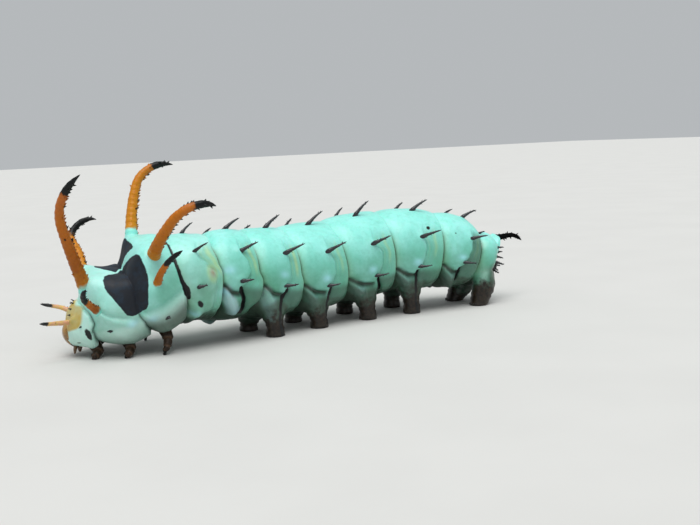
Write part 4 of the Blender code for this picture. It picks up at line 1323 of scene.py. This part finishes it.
def make_head(shape):
    """The head capsule: two rounded halves with a middle seam and the triangle of the face below it."""
    columns, rows = 120, 80
    polar = np.pi * (np.arange(1, rows) / rows)
    turn = 2 * np.pi * np.arange(columns) / columns
    p, t = np.meshgrid(polar, turn, indexing="ij")
    up, wide = np.cos(p), np.sin(p)
    forward = np.cos(t) * wide
    left = np.sin(t) * wide
    middle = np.exp(-(left / 0.07) ** 2) * ease(up, -0.15, 0.15) * ease(forward, -0.3, 0.1)
    arm = np.exp(-((np.abs(left) - 0.42 * (0.15 - up)) / 0.05) ** 2)
    arm *= fade(up, 0.05, 0.17) * ease(up, -0.8, -0.6) * ease(forward, 0.2, 0.5)
    seam = np.maximum(middle, arm)
    cheeks = 0.05 * np.exp(-((np.abs(left) - 0.6) / 0.3) ** 2) * ease(forward, 0, 0.4)
    size = 1 + cheeks - 0.035 * seam + 0.006 * lattice_noise(p * 9, t * 9, 11)
    shrink = np.where(forward > 0, 0.92, 1.0)
    long_, broad, high = HEAD_SIZE
    left = left * broad * (1 + 0.12 * up)
    points = head_point(forward * long_ * shrink * size, left * size, up * high * size)
    points = np.vstack([points.reshape(-1, 3), [head_point(0, 0, high), head_point(0, 0, -high)]])
    faces = [face[::-1] for face in tube_faces(rows - 1, columns)]
    mouth = ease(-up, 0.62, 0.85) * ease(forward, 0.0, 0.3)
    dark = np.append(np.clip(seam + 0.6 * mouth, 0, 1).ravel(), [0.0, 0.0])
    shape.add(points, faces, seam=dark)


def make_eyes(shape):
    """Six small black lenses in a ring low on each cheek."""
    for side in (1, -1):
        for k in range(EYES):
            turn = np.radians(-70 + 36 * k)
            forward = EYE_CENTRE[0] + EYE_RING * np.cos(turn)
            up = EYE_CENTRE[1] + EYE_RING * np.sin(turn)
            inside = 1 - (forward / HEAD_SIZE[0] / 0.92) ** 2 - (up / HEAD_SIZE[2]) ** 2
            place = head_point(forward, side * HEAD_SIZE[1] * 0.98 * np.sqrt(inside), up)
            way = unit(place - head_point(forward * 0.3, 0, up * 0.3))
            t = np.linspace(0, 0.5 * np.pi, 7)
            path = place + way * (np.concatenate([[-0.3], np.sin(t) * 0.28]))[:, None]
            radii = EYE_RADIUS * np.concatenate([[1.0], np.cos(t).clip(0.02, 1)])
            shape.add(*sweep(path, radii, 14), eye=1.0)


def jointed(shape, path, radii, joints, sides, flatten=1.0, **marks):
    """A tapered limb through a few places, narrowed and paler at its joints."""
    path = curve_through(path, 60)
    t = np.linspace(0, 1, 60)
    radii = np.interp(t, np.linspace(0, 1, len(radii)), radii)
    pale = np.zeros(60)
    for at in joints:
        radii = radii * (1 - 0.16 * bump(t, at, 0.022) + 0.07 * bump(t, at - 0.06, 0.03))
        pale = np.maximum(pale, bump(t, at, 0.02))
    points, faces = sweep(path, radii, sides, flatten)
    shape.add(points, faces, joint=np.append(np.repeat(pale, sides), [0.0, 0.0]), **marks)
    return path, radii


def make_mouthparts():
    """Mandibles, antennae and the labrum, each its own piece."""
    made = {}
    for word, side in (("left", 1), ("right", -1)):
        path = [head_point(1.0, side * 1.2, -1.6), head_point(2.2, side * 1.15, -2.8),
                head_point(2.8, side * 0.75, -3.3)]
        made[f"mandible_{word}"] = (path, [0.85, 0.82, 0.6, 0.22], (), 20, 0.7, 0.9)
        path = [head_point(1.4, side * 1.8, -1.2), head_point(2.6, side * 2.6, -2.0),
                head_point(3.4, side * 3.0, -2.6)]
        made[f"antenna_{word}"] = (path, [0.5, 0.5, 0.38, 0.30, 0.12], (0.45, 0.7), 16, 1.0, 0.6)
    path = [head_point(1.6, 0, -1.2), head_point(3.1, 0, -2.1), head_point(3.9, 0, -2.5)]
    made["labrum"] = (path, [0.9, 1.08, 1.0, 0.55], (), 24, 0.32, 0.6)
    return made


def make_leg(segment, side, draw):
    """A short jointed leg that stands on the tip of its claw."""
    s = station(segment, LEG_AT[segment])
    root, hip = plain_point(s, side * LEG_ANGLE, -1.6), plain_point(s, side * LEG_ANGLE, 0.9)
    _, tangent, _, lateral = frame_at(s)
    foot = hip + side * lateral * 1.6 - tangent * 1.4
    foot[2] = 0.0
    knee = (hip + foot) / 2 + side * lateral * 1.0
    shape = Shape("joint", "claw")
    ankle = foot + (0, 0, 1.15)
    path, radii = jointed(shape, [root, hip, knee, ankle], LEG_RADII, LEG_JOINTS, 20)
    bend = side * lateral * 0.25 + tangent * 0.15
    claw = curve_through([ankle + (0, 0, 0.2), ankle - (0, 0, 0.5) + bend, foot + (0, 0, 0.34)], 16)
    shape.add(*sweep(claw, np.linspace(0.46, 0.3, 16), 14), claw=1.0)
    tip = np.array([foot + (0, 0, 0.5), foot + (0, 0, 0.25), foot + (0, 0, 0.02)])
    shape.add(*sweep(tip, [0.34, 0.36, 0.30], 14), claw=1.0)
    for _ in range(LEG_THORNS):
        i = int(16 + 20 * draw.random())
        way = unit(draw.normal(size=3))
        way[2] = abs(way[2])
        thorn(shape, path[i] + way * radii[i] * 0.6, way, 0.55, 0.05, draw, 4, claw=0.6)
    for points in shape.points:
        points[:, 2] = np.maximum(points[:, 2], 0.0)
    return shape


def make_feet_hooks():
    """Rings of small dark hooks round the soles of the prolegs."""
    shape = Shape()
    for row in PROLEGS:
        for side in (1, -1):
            bottom, _ = proleg_ends(row, side)
            for turn in np.arange(HOOKS) * 2 * np.pi / HOOKS:
                out = np.array([np.cos(turn), np.sin(turn), 0.0])
                start = bottom + out * (row[4] * 0.86)
                path = curve_through([start + (0, 0, 0.75), start + out * 0.32 + (0, 0, 0.55),
                                      start + out * 0.42 + (0, 0, 0.12)], 8)
                shape.add(*sweep(path, np.linspace(0.13, 0.03, 8), 6))
    return shape


# Settings, one group for the body, one for the colours and one for the stage

def length_setting(name, default, words):
    return FloatProperty(name=name, description=words, default=default, min=0.0, unit="LENGTH",
                         subtype="DISTANCE", precision=5)


def angle_setting(name, degrees, words, least=-360.0):
    return FloatProperty(name=name, description=words, default=np.radians(degrees), min=np.radians(least),
                         subtype="ANGLE", unit="ROTATION")


def number_setting(name, default, words, kind=FloatProperty, least=0):
    return kind(name=name, description=words, default=default, min=least)


def colour_setting(name, default, words):
    return FloatVectorProperty(name=name, description=words, default=default, size=3, min=0.0, max=1.0,
                               subtype="COLOR")


# Colours: key, name, red, green and blue, what they are for
COLOURS = [
    ("mint", "Mint", (0.27, 0.79, 0.69), "Skin of the back"),
    ("bright", "Bright mint", (0.42, 0.92, 0.88), "Clouds of paler skin"),
    # Green shade: partly the sides' own colour and partly painted shade low on the sides
    ("shade", "Green shade", (0.10, 0.38, 0.25), "Skin low on the sides"),
    # Pale green: the front segments' own colour, made brighter in part as painted light
    ("pale", "Pale green", (0.60, 0.84, 0.76), "Front segments"),
    ("rear", "Leaf green", (0.13, 0.46, 0.32), "Ribbed rear of each segment"),
    # Yellow green: the edges of the folds, and painted highlight on the ribs and round the blush
    ("rim", "Yellow green", (0.42, 0.62, 0.26), "Edges of the folds"),
    ("lobe", "Grey blue", (0.42, 0.62, 0.66), "Lobes low on the front of each segment"),
    # Pale blue: painted highlights above the lowest spines and on the lobes
    ("blue", "Pale blue", (0.42, 0.82, 0.95), "Spots above the lowest spines"),
    ("blush", "Blush", (0.36, 0.24, 0.15), "Fold behind the first abdominal segment"),
    ("shield", "Tan", (0.50, 0.33, 0.030), "Shield on the first segment"),
    # Dusky olive: partly the belly's own colour and partly painted shade on the lower sides, the flanges and
    # the prolegs
    ("dusk", "Dusky olive", (0.034, 0.046, 0.028), "Lower sides and prolegs"),
    # Fold green: painted shade in the folds, the creases and under the belly
    ("fold", "Fold green", (0.016, 0.034, 0.020), "Bottom of the folds and the belly"),
    ("patch", "Navy", (0.003, 0.006, 0.012), "Dark patches on the back"),
    ("patch_bloom", "Navy bloom", (0.008, 0.019, 0.034), "Scuffs on the dark patches"),
    ("black", "Black", (0.004, 0.005, 0.005), "Spines, horn tips and small marks"),
    ("horn_root", "Horn yellow", (0.66, 0.28, 0.010), "Root of the horns"),
    ("horn", "Horn orange", (0.45, 0.12, 0.005), "Middle of the horns"),
    ("horn_far", "Horn red", (0.41, 0.110, 0.032), "Outer end of the horns"),
    ("horn_rust", "Rust", (0.24, 0.060, 0.003), "Darker sides of the horns"),
    ("straw", "Straw", (0.66, 0.44, 0.12), "Front horns"),
    ("straw_pink", "Pink straw", (0.66, 0.34, 0.20), "Front horns"),
    ("head", "Head brown", (0.20, 0.10, 0.025), "Head capsule"),
    ("head_pale", "Head tan", (0.38, 0.21, 0.05), "Cheeks"),
    ("leg", "Leg brown", (0.018, 0.011, 0.007), "Legs"),
]


class LarvaBody(bpy.types.PropertyGroup):
    row_step: length_setting("Row step", 0.00017, "Mean distance between the rows of the skin's net")
    columns: number_setting("Columns", 380, "Columns of the skin's net round the body", IntProperty, 64)
    seed: number_setting("Seed", 7, "Seed for the thorns and the spread of the spines", IntProperty)


class LarvaColours(bpy.types.PropertyGroup):
    __annotations__ = {key: colour_setting(*row) for key, *row in COLOURS}


class LarvaStage(bpy.types.PropertyGroup):
    azimuth: angle_setting("Azimuth", -31.3, "Side that the camera looks from")
    elevation: angle_setting("Elevation", 7.0, "Height angle of the camera")
    roll: angle_setting("Roll", -2.5, "Turn of the camera about its view")
    distance: length_setting("Distance", 0.25, "From the camera to the point it looks at")
    target: FloatVectorProperty(name="Target", description="Point that the camera looks at", size=3,
                                default=(0.0053, -0.0115, 0.0165), subtype="TRANSLATION", unit="LENGTH")
    lens: number_setting("Lens", 51.43, "Focal length in millimetres")
    floor_size: length_setting("Floor", 6.0, "Side of the floor")
    floor_colour: colour_setting("Floor", (0.64, 0.635, 0.61), "Pale plain floor")
    key: number_setting("Key light", 2.5, "Strength of the broad light overhead")
    softness: angle_setting("Softness", 50.0, "Angle across the broad light", 0.0)
    sky: number_setting("Sky", 0.5, "Strength of the even light all round")


# Direction that the broad light comes from, colour of the even light, and the floor's darker clouds
KEY_FROM = (-0.15, -0.25, 1.0)
SKY_COLOUR = (0.93, 0.97, 1.0, 1.0)
FLOOR_SHADE = 0.97

SETTINGS = (("larva_body", LarvaBody), ("larva_colours", LarvaColours), ("larva_stage", LarvaStage))
FLESH_NODES = NAMES + [f"{row[0]}_{word}" for row in PROLEGS for word in ("left", "right")]


def finish_for(name, make, context):
    """The finish of that name, made once."""
    found = bpy.data.materials.get(name)
    return found if found and found.users else make(context.scene.larva_colours)


# Operators

class LARVA_OT_skin(bpy.types.Operator):
    """Makes the skin of the whole body with its folds, lobes, prolegs and markings"""
    bl_idname = "larva.skin"
    bl_label = "Skin"

    def execute(self, context):
        settings = context.scene.larva_body
        parts = build_skin(settings.row_step / MM, settings.columns)
        skin = place_piece("skin", skin_mesh(*parts), skin_finish(context.scene.larva_colours))
        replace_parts(skin, *FLESH_NODES)
        return {"FINISHED"}


class LARVA_OT_horns(bpy.types.Operator):
    """Makes the horns of the front segments and of the tail"""
    bl_idname = "larva.horns"
    bl_label = "Horns"

    def execute(self, context):
        draw = np.random.default_rng(context.scene.larva_body.seed)
        finishes = {kind: make(context.scene.larva_colours) for kind, make in
                    (("orange", horn_finish), ("pale", pale_horn_finish), ("black", spine_finish))}
        for row in HORNS:
            name = row[0]
            kind = "black" if name == "horn_tail" else "pale" if "_t1_" in name else "orange"
            slot = "black_spine" if kind == "black" else "orange_horn"
            horn = make_horn(row, draw).build(f"{name}_finished", finishes[kind], slot)
            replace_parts(horn, name)
        return {"FINISHED"}


class LARVA_OT_spines(bpy.types.Operator):
    """Makes the rows of black spines on the abdomen and the small ones elsewhere"""
    bl_idname = "larva.spines"
    bl_label = "Spines"

    def execute(self, context):
        draw = np.random.default_rng(context.scene.larva_body.seed + 1)
        finish = finish_for("black_spine", spine_finish, context)
        rows = Shape()
        for sides, places, out, lean in SPINE_ROWS:
            for segment, (u, angle, length, radius) in enumerate(places, A1):
                for side in sides:
                    make_spine(rows, station(segment, u), side * angle, length, out, lean, radius, draw)
        rows.build("abdomen_spines", finish, "black_spine")
        small = Shape()
        for segment, u, angles, length, lean, radius in SMALL_SPINES:
            s = station(segment, u)
            for angle in angles:
                for side in (1, -1):
                    make_spine(small, s, side * angle, length, angle, lean, radius * 0.8, draw)
        small.build("small_spines", finish, "black_spine")
        return {"FINISHED"}


class LARVA_OT_head(bpy.types.Operator):
    """Makes the head capsule with its eyes, and the mouthparts and antennae"""
    bl_idname = "larva.head"
    bl_label = "Head"

    def execute(self, context):
        finish = head_finish(context.scene.larva_colours)
        capsule = Shape("seam", "eye")
        make_head(capsule)
        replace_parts(capsule.build("head_capsule", finish, "brown_head"), "head")
        eyes = Shape("seam", "eye")
        make_eyes(eyes)
        eyes.build("eyes", finish, "brown_head")
        for name, (path, radii, joints, sides, flatten, dark) in make_mouthparts().items():
            shape = Shape("seam", "eye", "joint")
            jointed(shape, path, radii, joints, sides, flatten, seam=dark)
            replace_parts(shape.build(f"{name}_finished", finish, "brown_head"), name)
        return {"FINISHED"}


class LARVA_OT_legs(bpy.types.Operator):
    """Makes the six jointed legs and the hooks on the soles of the prolegs"""
    bl_idname = "larva.legs"
    bl_label = "Legs"

    def execute(self, context):
        draw = np.random.default_rng(context.scene.larva_body.seed + 2)
        finish = leg_finish(context.scene.larva_colours)
        for segment in (T1, T2, T3):
            for word, side in (("left", 1), ("right", -1)):
                node = f"leg_{segment + 1}_{word}"
                leg = make_leg(segment, side, draw).build(f"{node}_finished", finish, "dark_leg")
                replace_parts(leg, node)
        black = finish_for("black_spine", spine_finish, context)
        make_feet_hooks().build("proleg_hooks", black, "black_spine")
        return {"FINISHED"}


def make_light(name, strength, softness, back):
    """A far light that shines along minus back."""
    lamp = bpy.data.lights.new(name, "SUN")
    lamp.angle = softness
    lamp.energy = strength
    thing = bpy.data.objects.new(name, lamp)
    bpy.context.collection.objects.link(thing)
    back = np.array(back, float)
    thing.matrix_world = facing((0.0, 0.0, 0.5), back / np.linalg.norm(back))


def facing(place, back, roll=0.0):
    """Matrix of a camera or lamp at a place that looks along minus back."""
    across = np.cross((0.0, 1.0, 0.0) if abs(back[2]) > 0.99 else (0.0, 0.0, 1.0), back)
    across /= np.linalg.norm(across)
    up = np.cross(back, across)
    turned = across * np.cos(roll) + up * np.sin(roll)
    up = up * np.cos(roll) - across * np.sin(roll)
    rows = np.eye(4)
    rows[:3, 0], rows[:3, 1], rows[:3, 2], rows[:3, 3] = turned, up, back, place
    return Matrix(rows.tolist())


class LARVA_OT_stage(bpy.types.Operator):
    """Makes the pale floor, the soft lights and the camera"""
    bl_idname = "larva.stage"
    bl_label = "Stage"

    def execute(self, context):
        stage = context.scene.larva_stage
        half = stage.floor_size / 2
        mesh = bpy.data.meshes.new("floor")
        corners = [(-half, -half, 0), (half, -half, 0), (half, half, 0), (-half, half, 0)]
        mesh.from_pydata(corners, [], [(0, 1, 2, 3)])
        floor = bpy.data.objects.new("floor", mesh)
        context.collection.objects.link(floor)
        made = Nodes("floor", 0.75)
        cloud = made.noise(30.0, 4.0)
        low = tuple(FLOOR_SHADE * part for part in stage.floor_colour)
        colour = made.mix(made.span(cloud, 0.3, 0.7), low, stage.floor_colour)
        mesh.materials.append(made.done(colour, None, made.bump(made.noise(900.0, 3.0), 0.1, 0.1)))
        make_light("key", stage.key, stage.softness, KEY_FROM)
        world = bpy.data.worlds.new("studio")
        world.use_nodes = True
        sky = world.node_tree.nodes["Background"].inputs
        sky["Color"].default_value = SKY_COLOUR
        sky["Strength"].default_value = stage.sky
        context.scene.world = world
        context.scene.view_settings.view_transform = "Standard"
        lens = bpy.data.cameras.new("camera")
        lens.lens = stage.lens
        lens.clip_start = 0.01
        camera = bpy.data.objects.new("camera", lens)
        context.collection.objects.link(camera)
        a, e = stage.azimuth, stage.elevation
        back = np.array([np.sin(a) * np.cos(e), -np.cos(a) * np.cos(e), np.sin(e)])
        camera.matrix_world = facing(np.array(stage.target) + back * stage.distance, back, stage.roll)
        context.scene.camera = camera
        return {"FINISHED"}


OPERATORS = (LARVA_OT_skin, LARVA_OT_horns, LARVA_OT_spines, LARVA_OT_head, LARVA_OT_legs, LARVA_OT_stage)


class LARVA_PT_panel(bpy.types.Panel):
    """Lists the operators and the settings"""
    bl_idname = "LARVA_PT_panel"
    bl_label = "Larva"
    bl_space_type = "VIEW_3D"
    bl_region_type = "UI"
    bl_category = "Larva"

    def draw(self, context):
        for operator in OPERATORS:
            self.layout.operator(operator.bl_idname)
        for name, group in SETTINGS:
            box = self.layout.box()
            for key in group.__annotations__:
                box.prop(getattr(context.scene, name), key)


def register():
    for group in [group for _, group in SETTINGS] + list(OPERATORS) + [LARVA_PT_panel]:
        bpy.utils.register_class(group)
    for name, group in SETTINGS:
        setattr(bpy.types.Scene, name, PointerProperty(type=group))


def unregister():
    for name, _ in SETTINGS:
        delattr(bpy.types.Scene, name)
    for group in [LARVA_PT_panel] + list(OPERATORS)[::-1] + [group for _, group in SETTINGS]:
        bpy.utils.unregister_class(group)


def main():
    register()
    bpy.ops.larva.skin()
    bpy.ops.larva.horns()
    bpy.ops.larva.spines()
    bpy.ops.larva.head()
    bpy.ops.larva.legs()
    bpy.ops.larva.stage()


if __name__ == "__main__":
    main()
